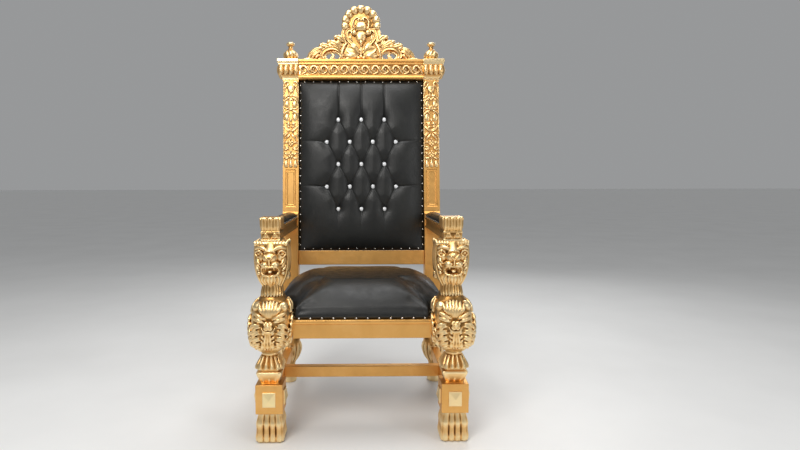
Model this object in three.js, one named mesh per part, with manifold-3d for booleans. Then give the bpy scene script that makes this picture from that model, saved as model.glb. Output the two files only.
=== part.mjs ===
// A carved and gilded wooden throne: a tall leaning back of two posts, a cornice rail and a pierced
// crest, a deep-buttoned leather panel, a domed leather seat, padded arms, and front legs carved as
// lions' heads over a leafy shoulder, a square block and a paw. Its back legs are plain carved knees.
// Millimetres, +Z up, the sitter faces -Y, origin on the floor under the middle of the whole chair.

import * as THREE from "three";
import { mergeVertices } from "three/addons/utils/BufferGeometryUtils.js";
import Module from "manifold-3d";

const wasm = await Module();
wasm.setup();

// ---- Driving dimensions -------------------------------------------------------------------------

const GAP = 0.3; // clearance between neighbouring pieces

// The back leans about a line across the chair where its posts leave the seat. In the back's own
// frame x runs across, y points to the rear from the posts' front faces, and z climbs the posts.
const LEAN = { y: 253, z: 470, angle: Math.atan(0.12) };

const POST = { inner: 298, outer: 373, depth: 56 };
const POST_X = (POST.inner + POST.outer) / 2;
const LEVEL = {
  backRail: [120, 186.7], // plain rail under the leather panel
  panel: [187, 1002],
  step: 369, // the post grows thicker below this
  fielded: [394, 570], // sunk plain panel on the post
  carving: [582, 998], // carved panel on the post
  cornice: [1002.3, 1099],
  frieze: [1023, 1074],
};
const CREST_THICK = 26;

const LEG = { x: 348, y: -280, headShift: -15 }; // the head stands a little nearer the middle
const BLOCK = { half: 51, bottom: 112, top: 223 };
const SHOULDER = { core: 83, coreRear: 68, coreHalf: 22 };
const HEAD = { chin: 602, top: 763 };
const ARM_BLOCK = { half: 37.5, bottom: 763, top: 852, front: -60, rear: 40 };

const SEAT = { railBottom: 390, railTop: 462, crown: 597, front: -303, halfWidth: 352 };
const RAIL_THICK = 45;
const STRETCHER = { bottom: 146, top: 192, half: 18 };
const ARM = { inner: 300, outer: 371, bottom: 765, top: 812, padTop: 840 };

const BUTTON = { dx: 109, dz: 106.5, radius: 8, stand: 6 }; // its rim stands on the slopes of its pit
const BUTTON_ROWS = [3, 4, 3, 4, 3];
const PANEL_MIDDLE = (LEVEL.panel[0] + LEVEL.panel[1]) / 2;

// ---- Materials ----------------------------------------------------------------------------------

const gold = () => new THREE.MeshStandardMaterial({ color: 0xc9953f, roughness: 0.35, metalness: 0.85 });
const leather = () => new THREE.MeshStandardMaterial({ color: 0x17181a, roughness: 0.42, metalness: 0 });
const crystal = () => new THREE.MeshStandardMaterial({ color: 0xe8ecf2, roughness: 0.05, metalness: 0.2 });

// ---- Small tools --------------------------------------------------------------------------------

const V = (x, y, z) => new THREE.Vector3(x, y, z);
const lerp = THREE.MathUtils.lerp;
const range = (n) => Array.from({ length: n }, (_, i) => i);
const smooth = (t) => THREE.MathUtils.smoothstep(t, 0, 1);
const BOTH_SIDES = [-1, 1];

/** The geometry as a manifold solid. */
function solidOf(geometry) {
  const flat = geometry.index ? geometry.toNonIndexed() : geometry;
  const bare = new THREE.BufferGeometry().setAttribute("position", flat.getAttribute("position"));
  const merged = mergeVertices(bare, 1e-4);
  return new wasm.Manifold(
    new wasm.Mesh({
      numProp: 3,
      vertProperties: merged.attributes.position.array,
      triVerts: new Uint32Array(merged.index.array),
    }),
  );
}

function geometryOf(solid) {
  const mesh = solid.getMesh();
  return new THREE.BufferGeometry()
    .setAttribute("position", new THREE.BufferAttribute(mesh.vertProperties, 3))
    .setIndex(new THREE.BufferAttribute(mesh.triVerts, 1));
}

function join(pieces) {
  return geometryOf(pieces.flat(Infinity).map(solidOf).reduce((sum, piece) => sum.add(piece)));
}

function cut(base, tools) {
  return geometryOf(tools.map(solidOf).reduce((rest, tool) => rest.subtract(tool), solidOf(base)));
}

/** Six times the volume that the triangles enclose, negative where they face inwards. */
function signedVolume(points, index) {
  let sum = 0;
  for (let i = 0; i < index.length; i += 3) {
    const [a, b, c] = [points[index[i]], points[index[i + 1]], points[index[i + 2]]];
    sum += a.dot(b.clone().cross(c));
  }
  return sum;
}

/** A closed solid through rings of equal length, capped at both ends. */
function loft(rings) {
  const n = rings[0].length;
  const points = rings.flat();
  const index = [];
  for (let r = 0; r < rings.length - 1; r++) {
    for (let i = 0; i < n; i++) {
      const a = r * n + i;
      const b = r * n + ((i + 1) % n);
      index.push(a, b, b + n, a, b + n, a + n);
    }
  }
  const middle = (ring) => ring.reduce((sum, p) => sum.add(p), V(0, 0, 0)).divideScalar(n);
  const last = (rings.length - 1) * n;
  const start = points.push(middle(rings[0])) - 1;
  const end = points.push(middle(rings.at(-1))) - 1;
  for (let i = 0; i < n; i++) {
    const next = (i + 1) % n;
    index.push(start, next, i, end, last + i, last + next);
  }
  if (signedVolume(points, index) < 0) index.reverse();
  return new THREE.BufferGeometry().setFromPoints(points).setIndex(index);
}

function box(x0, x1, y0, y1, z0, z1) {
  const middle = V(x0 + x1, y0 + y1, z0 + z1).divideScalar(2);
  return new THREE.BoxGeometry(x1 - x0, y1 - y0, z1 - z0).translate(middle.x, middle.y, middle.z);
}

function ellipsoid(x, y, z, rx, ry, rz, around = 6, up = 4) {
  return new THREE.SphereGeometry(1, around, up).scale(rx, ry, rz).translate(x, y, z);
}

/** A petalled disc that looks along -Y, through levels of [height, radius, dent between petals].
 *  A petal points up, or a dent if it is turned by half a petal. */
function rosette(x, y, z, petals, levels, turn = 0) {
  const ring = ([out, radius, dent]) =>
    range(petals * 2).map((i) => {
      const a = Math.PI / 2 + (Math.PI * (i + turn)) / petals;
      const reach = radius * (i % 2 ? 1 - dent : 1);
      return V(x + reach * Math.cos(a), y - out, z + reach * Math.sin(a));
    });
  return loft(levels.map(ring));
}

const RIDGE = [[0, 1], [-0.87, -0.5], [0.87, -0.5]];
const PLEATS = [[1, -0.5], [0.7, 0.8], [0.35, 0.2], [0, 1], [-0.35, 0.2], [-0.7, 0.8], [-1, -0.5]];

/** A tapering stroke of the chisel through the points, with `width` its half width along its length.
 *  Its section is given as [across, up] at half width 1; up is scaled by `rise` along `out`, the way
 *  the carved face looks. */
function stroke(points, width, { steps = 2, rise = 1, out = V(0, -1, 0), section = RIDGE } = {}) {
  const curve = new THREE.CatmullRomCurve3(points);
  return loft(
    range(steps + 1).map((s) => {
      const t = s / steps;
      const at = curve.getPoint(t);
      const along = curve.getTangent(t);
      const sideways = out.clone().cross(along).normalize();
      const outward = along.clone().cross(sideways).normalize();
      const half = Math.max(width(t), 0.5);
      return section.map(([across, up]) =>
        at
          .clone()
          .addScaledVector(sideways, half * across)
          .addScaledVector(outward, half * rise * up),
      );
    }),
  );
}

/** Width rule of a leaf: fullest near `peak` and pointed at both ends. */
const leaf = (half, peak = 0.4) => (t) => half * Math.sin(Math.PI * t ** (Math.log(0.5) / Math.log(peak)));
/** Width rule of a lobe: narrow at its root, full beyond its middle and blunt at its tip. */
const lobe = (half) => (t) => half * Math.sin(Math.PI * (0.12 + 0.66 * t));
const taper = (from, to) => (t) => lerp(from, to, t);

/** Points round a square, `perSide` to a side from the front left corner, at half width 1. */
function squarePath(perSide) {
  const corners = [V(-1, -1, 0), V(1, -1, 0), V(1, 1, 0), V(-1, 1, 0)];
  return corners.flatMap((corner, k) =>
    range(perSide).map((i) => corner.clone().lerp(corners[(k + 1) % 4], i / perSide)),
  );
}

// ---- Front leg, about its own axis, for the sitter's left and mirrored for the right -------------

const headShift = (z) => LEG.headShift * smooth((z - 300) / 300);

/** Levels of the stem: height, half width, half depth, middle's y, how round it is, how deep its flutes. */
const WAIST = [
  [221, 33, 33, 0, 0, 3],
  [250, 44, 44, 0, 0, 5],
  [258, 49, 49, 0, 0, 0],
  [269, 49, 49, 0, 0, 0],
  [270, 36, 36, 0, 0, 0],
  [279, 36, 36, 0, 0, 0],
  [280, 48, 48, 0, 0, 5],
  [320, 33, 33, 0, 0.3, 4],
  [336, 28, 28, 0, 0.8, 0],
];
const BULB = [
  [332, 30, 30, 0, 0.8, 0],
  [362, 55, 58, -7, 1, 3],
  [363, 64, 68, -8, 0.8, 12],
  [440, 75, 80, -14, 0.8, 5],
  [500, 73, 77, -13, 0.8, 3],
  [540, 58, 62, -8, 1, 0],
  [566, 42, 47, -6, 1, 0],
  [606, 36, 40, -8, 1, 0],
];

/** A spot on a level of the stem in the direction (x, y) from its axis, standing out by `out`. */
function stemSpot([z, half, depth, y, round], toX, toY, out) {
  const bend = Math.hypot(toX, toY);
  const power = lerp(12, 2.6, round);
  const reach = (Math.abs(toX / bend) ** power + Math.abs(toY / bend) ** power) ** (-1 / power);
  return V((toX / bend) * (reach * half + out) + headShift(z), (toY / bend) * (reach * depth + out) + y, z);
}

const stem = (levels, perSide) =>
  loft(
    levels.map((level) =>
      squarePath(perSide).map((p, i) => stemSpot(level, p.x, p.y, i % 2 ? -level[5] : 0)),
    ),
  );

/** A stroke over the bulb through spots of [degrees round from its front, height, standing out]. */
function carve(spots, width, rise = 0.7, section = RIDGE) {
  const toward = (turn) => V(0, -1, 0).applyAxisAngle(V(0, 0, 1), THREE.MathUtils.degToRad(turn));
  const points = spots.map(([turn, z, out]) => {
    const above = BULB.findIndex((level) => level[0] >= z);
    const [from, to] = [BULB[above - 1], BULB[above]];
    const share = (z - from[0]) / (to[0] - from[0]);
    const level = to.map((value, i) => lerp(from[i], value, share));
    return stemSpot(level, toward(turn).x, toward(turn).y, out);
  });
  return stroke(points, width, { rise, section, out: toward(spots[1][0]) });
}

/** A paw of four long toes, split by grooves that run its full height. */
function paw() {
  const toes = 4;
  const spread = THREE.MathUtils.degToRad(205);
  const swell = [0.86, 1, 1]; // from groove to groove
  const rear = [140, 220].map(THREE.MathUtils.degToRad);
  const ring = ([z, half, y, groove]) => {
    const front = range(toes * swell.length + 1).map((i) => ({
      angle: -spread / 2 + (spread * i) / (toes * swell.length),
      swell: lerp(1, swell[i % swell.length], groove),
    }));
    return [...front, ...rear.map((angle) => ({ angle, swell: 1 }))].map(({ angle, swell }) => {
      const power = 2.8;
      const reach = (Math.abs(Math.sin(angle)) ** power + Math.abs(Math.cos(angle)) ** power) ** (-1 / power);
      return V(Math.sin(angle) * reach * swell * half, -Math.cos(angle) * reach * swell * half + y, z);
    });
  };
  const levels = [
    [0, 51, -4, 0.9],
    [42, 53, -7, 1],
    [60, 48, -3, 0.9],
    [BLOCK.bottom + 1, 43.5, 0, 0.8],
  ];
  return loft(levels.map(ring));
}

/** A square block with eased edges and a low pyramid on each face that shows. */
function studdedBlock() {
  const { half, bottom, top } = BLOCK;
  const ease = 3;
  const body = loft(
    [
      [bottom, half - ease],
      [bottom + ease, half],
      [top - ease, half],
      [top, half - ease],
    ].map(([z, w]) => squarePath(1).map((p) => V(p.x * w, p.y * w, z))),
  );
  const stud = { halfWidth: 24.5, halfHeight: 28, plinth: 3, point: 14 };
  const pyramid = loft(
    [
      [-2, 1],
      [stud.plinth, 1],
      [stud.plinth + 1, 0.86],
      [stud.point, 0.05],
    ].map(([out, share]) =>
      squarePath(1).map((p) => V(p.x * stud.halfWidth * share, p.y * stud.halfHeight * share, out)),
    ),
  );
  const faces = [0, Math.PI / 2, -Math.PI / 2].map((turn) =>
    pyramid
      .clone()
      .rotateX(Math.PI / 2)
      .translate(0, -half, (bottom + top) / 2)
      .rotateZ(turn),
  );
  return [body, ...faces];
}

/** A flower under a shell and between paired leaves, two volutes, and a long leaf on the outer flank. */
function shoulderCarving() {
  const x = headShift(460);
  const flower = rosette(x, -88, 458, 5, [[-6, 24, 0.3], [7, 21, 0.3], [12, 7, 0]]);
  const shell = carve([[0, 482, 3], [0, 510, 9], [0, 543, 5]], lobe(36), 0.3, PLEATS);
  const stalk = carve([[0, 432, 1], [0, 398, 8], [0, 364, 6]], lobe(13));
  const sides = BOTH_SIDES.flatMap((s) => [
    ellipsoid(x + s * 46, -36, 528, 28, 36, 23, 6, 4),
    carve([[s * 12, 468, 1], [s * 32, 484, 3], [s * 48, 484, 0]], lobe(13)),
    ...[432, 396].map((z) => carve([[s * 12, z + 14, -1], [s * 28, z + 8, 2], [s * 42, z - 14, 0]], lobe(16))),
  ]);
  const flank = carve([[88, 506, -4], [88, 450, -2], [88, 368, -3]], lobe(34), 0.25, PLEATS);
  return [flower, shell, stalk, flank, ...sides];
}

/** The lion's head: heavy brow, broad muzzle, open mouth over a bearded jaw and a swept mane. */
function lionHead() {
  const x = LEG.headShift;
  const around = 12;
  const mane = 1.1; // every other point of the sides and the rear stands out as a lock of hair
  const skull = loft(
    [
      [HEAD.chin, 34, 36, -8],
      [628, 54, 50, -8],
      [664, 61, 60, -12],
      [706, 61, 65, -14],
      [740, 57, 60, -14],
      [HEAD.top, 42, 42, -14],
    ].map(([z, halfWidth, depth, y]) =>
      range(around).map((i) => {
        const a = (2 * Math.PI * i) / around;
        const reach = i % 2 === 0 && Math.sin(a) > -0.5 ? mane : 1;
        return V(x + reach * halfWidth * Math.cos(a), y + reach * depth * Math.sin(a), z);
      }),
    ),
  );
  const side = [
    [0.45, 1],
    [0.85, 0.3],
    [1, -0.5],
    [0.6, -1],
  ]; // across and up, narrow at the top and full below
  const section = [...side, ...side.map(([across, up]) => [-across, up]).reverse()];
  /** Part of the snout, from inside the face forward. */
  const snout = (levels) =>
    loft(
      levels.map(([y, halfWidth, low, high]) =>
        section.map(([across, up]) => V(x + halfWidth * across, y, lerp(low, high, (1 + up) / 2))),
      ),
    );
  const muzzle = snout([
    [-50, 40, 668, 728],
    [-96, 40, 668, 718],
    [-112, 30, 674, 708],
  ]);
  const jaw = snout([
    [-30, 33, 610, 654],
    [-78, 34, 612, 650],
    [-98, 24, 620, 644],
  ]);
  const throat = box(x - 28, x + 28, -78, -40, 640, 680);
  const nose = stroke([V(x, -80, 724), V(x, -108, 706), V(x, -114, 688)], taper(15, 8), { rise: 0.6 });
  const beard = stroke([V(x, -92, 636), V(x, -86, 618), V(x, -52, 592)], leaf(18, 0.35), { rise: 0.7 });
  const sides = BOTH_SIDES.flatMap((s) => [
    stroke([V(x + s * 6, -78, 730), V(x + s * 32, -68, 741), V(x + s * 58, -34, 726)], lobe(13)),
    ellipsoid(x + s * 42, -66, 716, 10, 9, 8, 4, 3),
    ellipsoid(x + s * 36, -70, 660, 12, 18, 22, 5, 4),
  ]);
  return [skull, muzzle, jaw, throat, nose, beard, ...sides];
}

/** The block that ends the arm: a beaded band between fillets under three leaves that curl forward. */
function armBlock() {
  const { half, bottom, top, front, rear } = ARM_BLOCK;
  const x = LEG.headShift;
  const band = 797; // top of the band
  const fillet = 5;
  const proud = 2;
  const body = loft(
    [
      [bottom - 14, half, front],
      [bottom - 1, half, front],
      [bottom, half + proud, front - proud],
      [bottom + fillet, half + proud, front - proud],
      [bottom + fillet + 1, half, front],
      [band - fillet - 1, half, front],
      [band - fillet, half + proud, front - proud],
      [band, half + proud, front - proud],
      [band + 1, half - 4, front + 10],
    ].map(([z, w, y]) => [V(x - w, y, z), V(x + w, y, z), V(x + w, rear, z), V(x - w, rear, z)]),
  );
  const folds = 6; // three leaves
  const leaves = loft(
    [
      [band - 1, half - 3, front + 9],
      [822, half - 4, front + 13],
      [842, half, front],
      [top, half - 3, front + 8],
    ].map(([z, w, y]) => [
      ...range(folds + 1).map((i) => V(lerp(x - w, x + w, i / folds), y + (i % 2 ? -4 : 4), z)),
      V(x + w, rear - 1, z),
      V(x - w, rear - 1, z),
    ]),
  );
  const beads = BOTH_SIDES.map((s) => ellipsoid(x + s * 18, front, (bottom + band) / 2, 14, 5, 9));
  return [body, leaves, ...beads];
}

function frontLeg() {
  const x = headShift(425);
  const { core, coreRear, coreHalf } = SHOULDER;
  const joints = [
    box(x - core, x + coreHalf, -coreHalf, coreHalf, SEAT.railBottom - 2, SEAT.railTop + 2),
    box(-18, 22, -coreHalf, coreRear, SEAT.railBottom - 2, SEAT.railTop + 2),
  ];
  const below = [paw(), studdedBlock(), stem(WAIST, 2)];
  return join([below, stem(BULB, 4), joints, shoulderCarving(), lionHead(), armBlock()]);
}

// ---- Back posts ---------------------------------------------------------------------------------

const leaned = new THREE.Matrix4()
  .makeTranslation(0, LEAN.y, LEAN.z)
  .multiply(new THREE.Matrix4().makeRotationX(-LEAN.angle));

/** The carved panel on the post's front: tiers of paired scrolls under buds, over three tongues. */
function postCarving() {
  const [low, high] = LEVEL.carving;
  const ground = -4;
  const halfWidth = (POST.outer - POST.inner) / 2 - 3;
  const at = (across, z, out = 0) => V(POST_X + across, ground - out, z);
  const plate = box(POST_X - halfWidth, POST_X + halfWidth, ground, 4, low + 10, high);
  const tongues = [-1, 0, 1].map((k) =>
    stroke([at(k * 23, low + 40, -1), at(k * 23, low + 2, 1)], taper(9, 13), { steps: 1, rise: 0.6 }),
  );
  const tiers = 5;
  const pitch = 73;
  const motifs = range(tiers).flatMap((i) => {
    const z = high - 34 - pitch * i;
    return [
      ellipsoid(POST_X, ground - 1, z + 24, 10, 7, 10, 4, 3),
      ...BOTH_SIDES.map((s) =>
        stroke([at(s * 4, z - 30), at(s * 26, z - 16, 3), at(s * 20, z + 16, 1)], lobe(11), { rise: 0.8 }),
      ),
    ];
  });
  return [plate, ...tongues, ...motifs];
}

/** The capital: a fluted cushion under two fillets, flush with the cornice on its inner side. */
function capital() {
  const flutes = 4;
  const steps = flutes * 2;
  const inner = POST.inner;
  const section = (z, grow, sink) => {
    const x1 = POST.outer + grow;
    const y0 = -grow;
    const y1 = POST.depth + 4;
    const run = (from, to, nx, ny) =>
      range(steps).map((i) => {
        const dent = i % 2 === 0 && i > 0 ? sink : 0;
        const at = from.clone().lerp(to, i / steps);
        return at.add(V(-nx * dent, -ny * dent, 0));
      });
    return [
      ...run(V(inner, y0, z), V(x1, y0, z), 0, -1),
      ...run(V(x1, y0, z), V(x1, y1, z), 1, 0),
      V(x1, y1, z),
      V(inner, y1, z),
    ];
  };
  return loft([
    section(1006, 0, 0),
    section(1028, 27, 4),
    section(1050, 29, 4),
    section(1070, 25, 4),
    section(1073, 22, 0),
    section(LEVEL.cornice[1], 26, 0),
  ]);
}

function postShaft() {
  const [low, high] = LEVEL.fielded;
  const frame = 14;
  const sunk = box(POST.inner + frame, POST.outer - frame, -6, 3, low, high);
  const swell = loft(
    [
      [-40, 9],
      [LEVEL.step - 14, 9],
      [LEVEL.step, 0],
    ].map(([z, grow]) => [
      V(POST.inner, -grow, z),
      V(POST.outer, -grow, z),
      V(POST.outer, 20, z),
      V(POST.inner, 20, z),
    ]),
  );
  const foot = -60; // the shaft runs down inside the upright part at the seat
  return join([cut(box(POST.inner, POST.outer, 0, POST.depth, foot, 1010), [sunk]), swell]);
}

/** The back leg: a carved knee of upright reeds, a waisted ankle and a round pad. */
function backLeg() {
  const around = 12;
  const ring = ([z, radius, x, y, reed]) =>
    range(around).map((i) => {
      const a = (2 * Math.PI * (i + 0.5)) / around;
      const reach = radius * (i % 2 ? 1 - reed : 1);
      return V(x + reach * Math.cos(a), y + reach * Math.sin(a), z);
    });
  const knee = loft(
    [
      [0, 34, 362, 362, 0],
      [9, 38, 362, 362, 0],
      [26, 36, 361, 360, 0],
      [38, 27, 359, 356, 0],
      [104, 28, 352, 340, 0.06],
      [130, 39, 349, 332, 0.14],
      [178, 51, 345, 316, 0.14],
      [214, 45, 340, 303, 0.12],
      [234, 38, POST_X, 298, 0],
      [262, 36, POST_X, 292, 0],
    ].map(ring),
  );
  const { half, bottom, top } = STRETCHER;
  const socket = box(LEG.x - half, LEG.x + half, 262, 322, bottom - 4, top + 4);
  const upright = loft(
    [
      [240, 262, 322],
      [300, 255, 316],
      [372, LEAN.y, 313],
      [480, LEAN.y, 313],
    ].map(([z, front, rear]) => [
      V(POST.inner, front, z),
      V(POST.outer, front, z),
      V(POST.outer, rear, z),
      V(POST.inner, rear, z),
    ]),
  );
  return [knee, socket, upright];
}

function backPost() {
  const upper = join([postShaft(), postCarving(), capital()]).applyMatrix4(leaned);
  const seatZone = box(POST.inner - 1, POST.outer + 1, 150, LEAN.y, 380, LEAN.z + 10);
  return cut(join([upper, backLeg()]), [seatZone]);
}

// ---- Cornice, crest and finials, in the back's own frame -----------------------------------------

/** A solid whose side-on outline (y to the rear, z up) runs across the chair. */
function moulding(outline, halfLength) {
  const shape = new THREE.Shape(outline.map(([y, z]) => new THREE.Vector2(y, z)));
  return new THREE.ExtrudeGeometry(shape, { depth: 2 * halfLength, bevelEnabled: false })
    .applyMatrix4(new THREE.Matrix4().makeBasis(V(0, 1, 0), V(0, 0, 1), V(1, 0, 0)))
    .translate(-halfLength, 0, 0);
}

/** The rail under the crest, with a running scroll between two fillets. */
function cornice() {
  const [low, high] = LEVEL.cornice;
  const [friezeLow, friezeHigh] = LEVEL.frieze;
  const rear = POST.depth;
  const profile = [
    [rear, low],
    [rear, high],
    [-14, high],
    [-20, high - 6],
    [-20, friezeHigh + 7],
    [-14, friezeHigh],
    [-6, friezeHigh],
    [-6, friezeLow],
    [-14, friezeLow],
    [-18, friezeLow - 5],
    [-18, low + 4],
    [-14, low],
  ];
  const waves = 12;
  const pitch = (2 * (POST.inner - 3)) / waves;
  const middle = (friezeLow + friezeHigh) / 2;
  const at = (x, up, out) => V(x, -6 - out, middle + up);
  const wave = (x) =>
    stroke([at(x - 13, -3, 1), at(x - 5, 15, 4), at(x + 13, 8, 6), at(x + 32, -18, 2)], lobe(11), { steps: 3 });
  const waveStart = (i) => -POST.inner + 3 + pitch * (i + 0.28);
  return join([moulding(profile, POST.inner - GAP), range(waves).map((i) => wave(waveStart(i)))]);
}

/** Half outline of the crest's plate above the cornice, from the foot of its tip to behind its shell. */
const CREST_EDGE = [
  [286, 0],
  [284, 8],
  [262, 11],
  [246, 32],
  [224, 54],
  [202, 62],
  [186, 76],
  [160, 82],
  [142, 92],
  [124, 108],
  [98, 114],
  [84, 136],
  [82, 190],
  [50, 240],
  [0, 252],
];

/** A pierced crest: a ruffled shell over a shield, scrolls, leaf fans and trailing leaves. */
function crest() {
  const bed = LEVEL.cornice[1] + GAP;
  const front = 12;
  const at = (x, z, out = 0) => V(x, front - out, bed + z);
  const half = CREST_EDGE.map(([x, z]) => new THREE.Vector2(x, z));
  const mirrored = half.slice(0, -1).map((p) => new THREE.Vector2(-p.x, p.y));
  const outline = new THREE.Shape([...half, ...mirrored.reverse()]);
  for (const s of BOTH_SIDES) {
    const eye = new THREE.Path();
    eye.absellipse(s * 138, 30, 32, 22, 0, 2 * Math.PI, s > 0);
    outline.holes.push(eye);
  }
  const thickness = { depth: CREST_THICK, bevelEnabled: false, curveSegments: 5 };
  const plate = new THREE.ExtrudeGeometry(outline, thickness)
    .rotateX(Math.PI / 2)
    .translate(0, front + CREST_THICK, bed);
  const lobes = 10;
  const dish = [
    [-20, 92, 0.13],
    [4, 100, 0.13],
    [13, 84, 0.1],
    [6, 60, 0],
  ];
  const shell = rosette(0, front, bed + 176, lobes, dish, 1);
  const boss = ellipsoid(0, front - 6, bed + 168, 26, 14, 20, 6, 4);
  const heart = [
    [0, 0.85],
    [0.75, 1],
    [1, 0.45],
    [0.6, -0.35],
    [0, -1],
    [-0.6, -0.35],
    [-1, 0.45],
    [-0.75, 1],
  ];
  const shield = loft(
    [
      [-4, 36, 44],
      [9, 31, 38],
      [15, 12, 16],
    ].map(([out, w, h]) => heart.map(([across, up]) => at(w * across, 110 + h * up, out))),
  );
  const sides = BOTH_SIDES.flatMap((s) => {
    const line = (spots, width, options) => stroke(spots.map(([x, z, out]) => at(s * x, z, out)), width, options);
    const scroll = [[32, 148, 6], [66, 140, 8], [62, 96, 8], [30, 60, 8], [5, 26, 6]];
    const arch = [[94, 34, 4], [116, 60, 6], [160, 62, 6], [190, 36, 6], [180, 6, 4]];
    return [
      line(scroll, taper(9, 9), { steps: 5 }),
      ellipsoid(s * 32, front - 8, bed + 138, 13, 10, 13, 4, 3),
      line([[14, 20, 2], [50, 38, 6], [84, 58, 3]], taper(10, 46), { rise: 0.25, section: PLEATS }),
      line(arch, taper(10, 10), { rise: 0.8, steps: 5 }),
      line([[128, 0, -10], [142, 20, -8], [136, 54, -10]], lobe(12), { rise: 0.8 }),
      ...range(3).map((k) => ellipsoid(s * (112 + 38 * k), front, bed + 104 - 18 * k, 24, 14, 18, 5, 3)),
      line([[186, 46, 2], [222, 40, 8], [254, 10, 4]], lobe(28), { rise: 0.35, section: PLEATS }),
    ];
  });
  const knot = ellipsoid(0, front - 4, bed + 14, 16, 12, 12, 6, 3);
  const footRun = box(-96, 96, front, front + CREST_THICK, bed, bed + 10);
  const above = box(-400, 400, -100, 100, bed - 60, bed);
  return cut(join([plate, shell, boss, shield, sides, knot, footRun]), [above]);
}

/** A turned finial: spiral-fluted bulb, thin neck and mushroom cap. */
function finial() {
  const around = 8;
  const profile = [
    [0, 28, 0],
    [9, 27, 0],
    [22, 34, 0.16],
    [36, 33, 0.18],
    [62, 12, 0.1],
    [76, 11, 0],
    [84, 21, 0],
    [97, 10, 0],
  ];
  const twist = THREE.MathUtils.degToRad(1.6);
  return loft(
    profile.map(([z, radius, reed]) =>
      range(around).map((i) => {
        const a = (2 * Math.PI * i) / around + twist * z;
        const reach = radius * (i % 2 ? 1 - reed : 1);
        return V(reach * Math.cos(a), reach * Math.sin(a), z);
      }),
    ),
  );
}

// ---- Upholstery ---------------------------------------------------------------------------------

/** Where the buttons pull the back panel in, in the back's own frame. */
const BUTTONS = BUTTON_ROWS.flatMap((count, row) =>
  range(count).map((i) => ({
    x: (i - (count - 1) / 2) * BUTTON.dx,
    z: PANEL_MIDDLE + (2 - row) * BUTTON.dz,
  })),
);

/** How far the padding stands out of the panel's edge: crowned, with diamonds drawn in at the buttons. */
function padding(x, z) {
  const [low, high] = LEVEL.panel;
  const toEdge = Math.min(POST.inner - Math.abs(x), z - low, high - z);
  const crown = 44 * smooth(toEdge / 95) + 5 * Math.min(1, toEdge / 8);
  const u = (x / BUTTON.dx + (z - PANEL_MIDDLE) / (2 * BUTTON.dz)) * 2 * Math.PI;
  const v = (x / BUTTON.dx - (z - PANEL_MIDDLE) / (2 * BUTTON.dz)) * 2 * Math.PI;
  const nearButtons = smooth((215 - Math.abs(x)) / 50) * smooth((290 - Math.abs(z - PANEL_MIDDLE)) / 70);
  const diamond = (Math.abs(Math.sin(u / 2)) * Math.abs(Math.sin(v / 2))) ** 0.6;
  return crown - 30 * nearButtons * (1 - diamond);
}

/** A cushion on a grid: flat at the rear, with the front given by `height`. */
function gridPad(xs, zs, rear, height) {
  const front = (z) => xs.map((x) => V(x, rear - height(x, z), z));
  return loft(zs.map((z) => [...front(z), V(xs.at(-1), rear, z), V(xs[0], rear, z)]));
}

function backPad() {
  const [low, high] = LEVEL.panel;
  const half = POST.inner - GAP;
  const step = BUTTON.dx / 2;
  const inner = range(9).map((i) => (i - 4) * step);
  const xs = [-half, -half + 8, -half + 36, ...inner, half - 36, half - 8, half];
  const zStep = BUTTON.dz / 2;
  const middle = range(11).map((i) => PANEL_MIDDLE + (i - 5) * zStep);
  const zs = [low, low + 8, low + 50, ...middle, high - 50, high - 8, high - GAP];
  return gridPad(xs, zs, 14, (x, z) => padding(x, z) + 4);
}

function backBoard() {
  const [low, high] = LEVEL.panel;
  const half = POST.inner - GAP;
  const xs = [-half, -half + 30, 0, half - 30, half];
  const zs = [low, low + 30, PANEL_MIDDLE, high - 30, high - GAP];
  const swell = (x, z) => 20 + 8 * smooth((half - Math.abs(x)) / 60) * smooth(Math.min(z - low, high - z) / 60);
  return gridPad(xs, zs, 0, swell)
    .rotateZ(Math.PI)
    .translate(0, 14 + GAP, 0);
}

/** A faceted crystal button that sits in its dimple. */
function button({ x, z }) {
  const seatDepth = 14 - padding(x, z) - 4 - BUTTON.stand;
  const profile = [
    [0, BUTTON.radius],
    [5, 4],
  ];
  const around = 5;
  return loft(
    profile.map(([out, radius]) =>
      range(around).map((i) => {
        const a = (2 * Math.PI * i) / around;
        return V(radius * Math.cos(a), radius * Math.sin(a), out);
      }),
    ),
  )
    .rotateX(Math.PI / 2)
    .translate(x, seatDepth - GAP, z);
}

/** The domed seat, notched round the front legs and the back posts. */
function seatCushion() {
  const { railTop, crown, front, halfWidth } = SEAT;
  const rear = 300;
  const bottom = railTop + GAP;
  const middle = (front + rear) / 2;
  const halfDepth = (rear - front) / 2;
  const levels = [
    [0, 0],
    [0.3, 2],
    [0.55, 14],
    [0.76, 36],
    [0.91, 78],
    [1, 160],
  ];
  const around = 16;
  const dome = loft(
    levels.map(([rise, inset]) =>
      range(around).map((i) => {
        const a = (2 * Math.PI * (i + 0.5)) / around;
        const power = lerp(9, 3, inset / 150);
        const reach = (Math.abs(Math.cos(a)) ** power + Math.abs(Math.sin(a)) ** power) ** (-1 / power);
        return V(
          reach * (halfWidth - inset) * Math.cos(a),
          middle + reach * (halfDepth - inset) * Math.sin(a),
          bottom + rise * (crown - bottom),
        );
      }),
    ),
  );
  const notches = BOTH_SIDES.flatMap((s) => [
    box(s > 0 ? 258 : -400, s > 0 ? 400 : -258, -400, -204, 400, 700),
    box(s > 0 ? 296 : -400, s > 0 ? 400 : -296, 240, 400, 400, 700),
  ]);
  return cut(dome, notches);
}

// ---- Plain members ------------------------------------------------------------------------------

/** Post face in side view at height z, a gap short of the wood. */
const postFaceAt = (z) => LEAN.y + (z - LEAN.z) * Math.tan(LEAN.angle) - 9 / Math.cos(LEAN.angle) - GAP;

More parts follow.
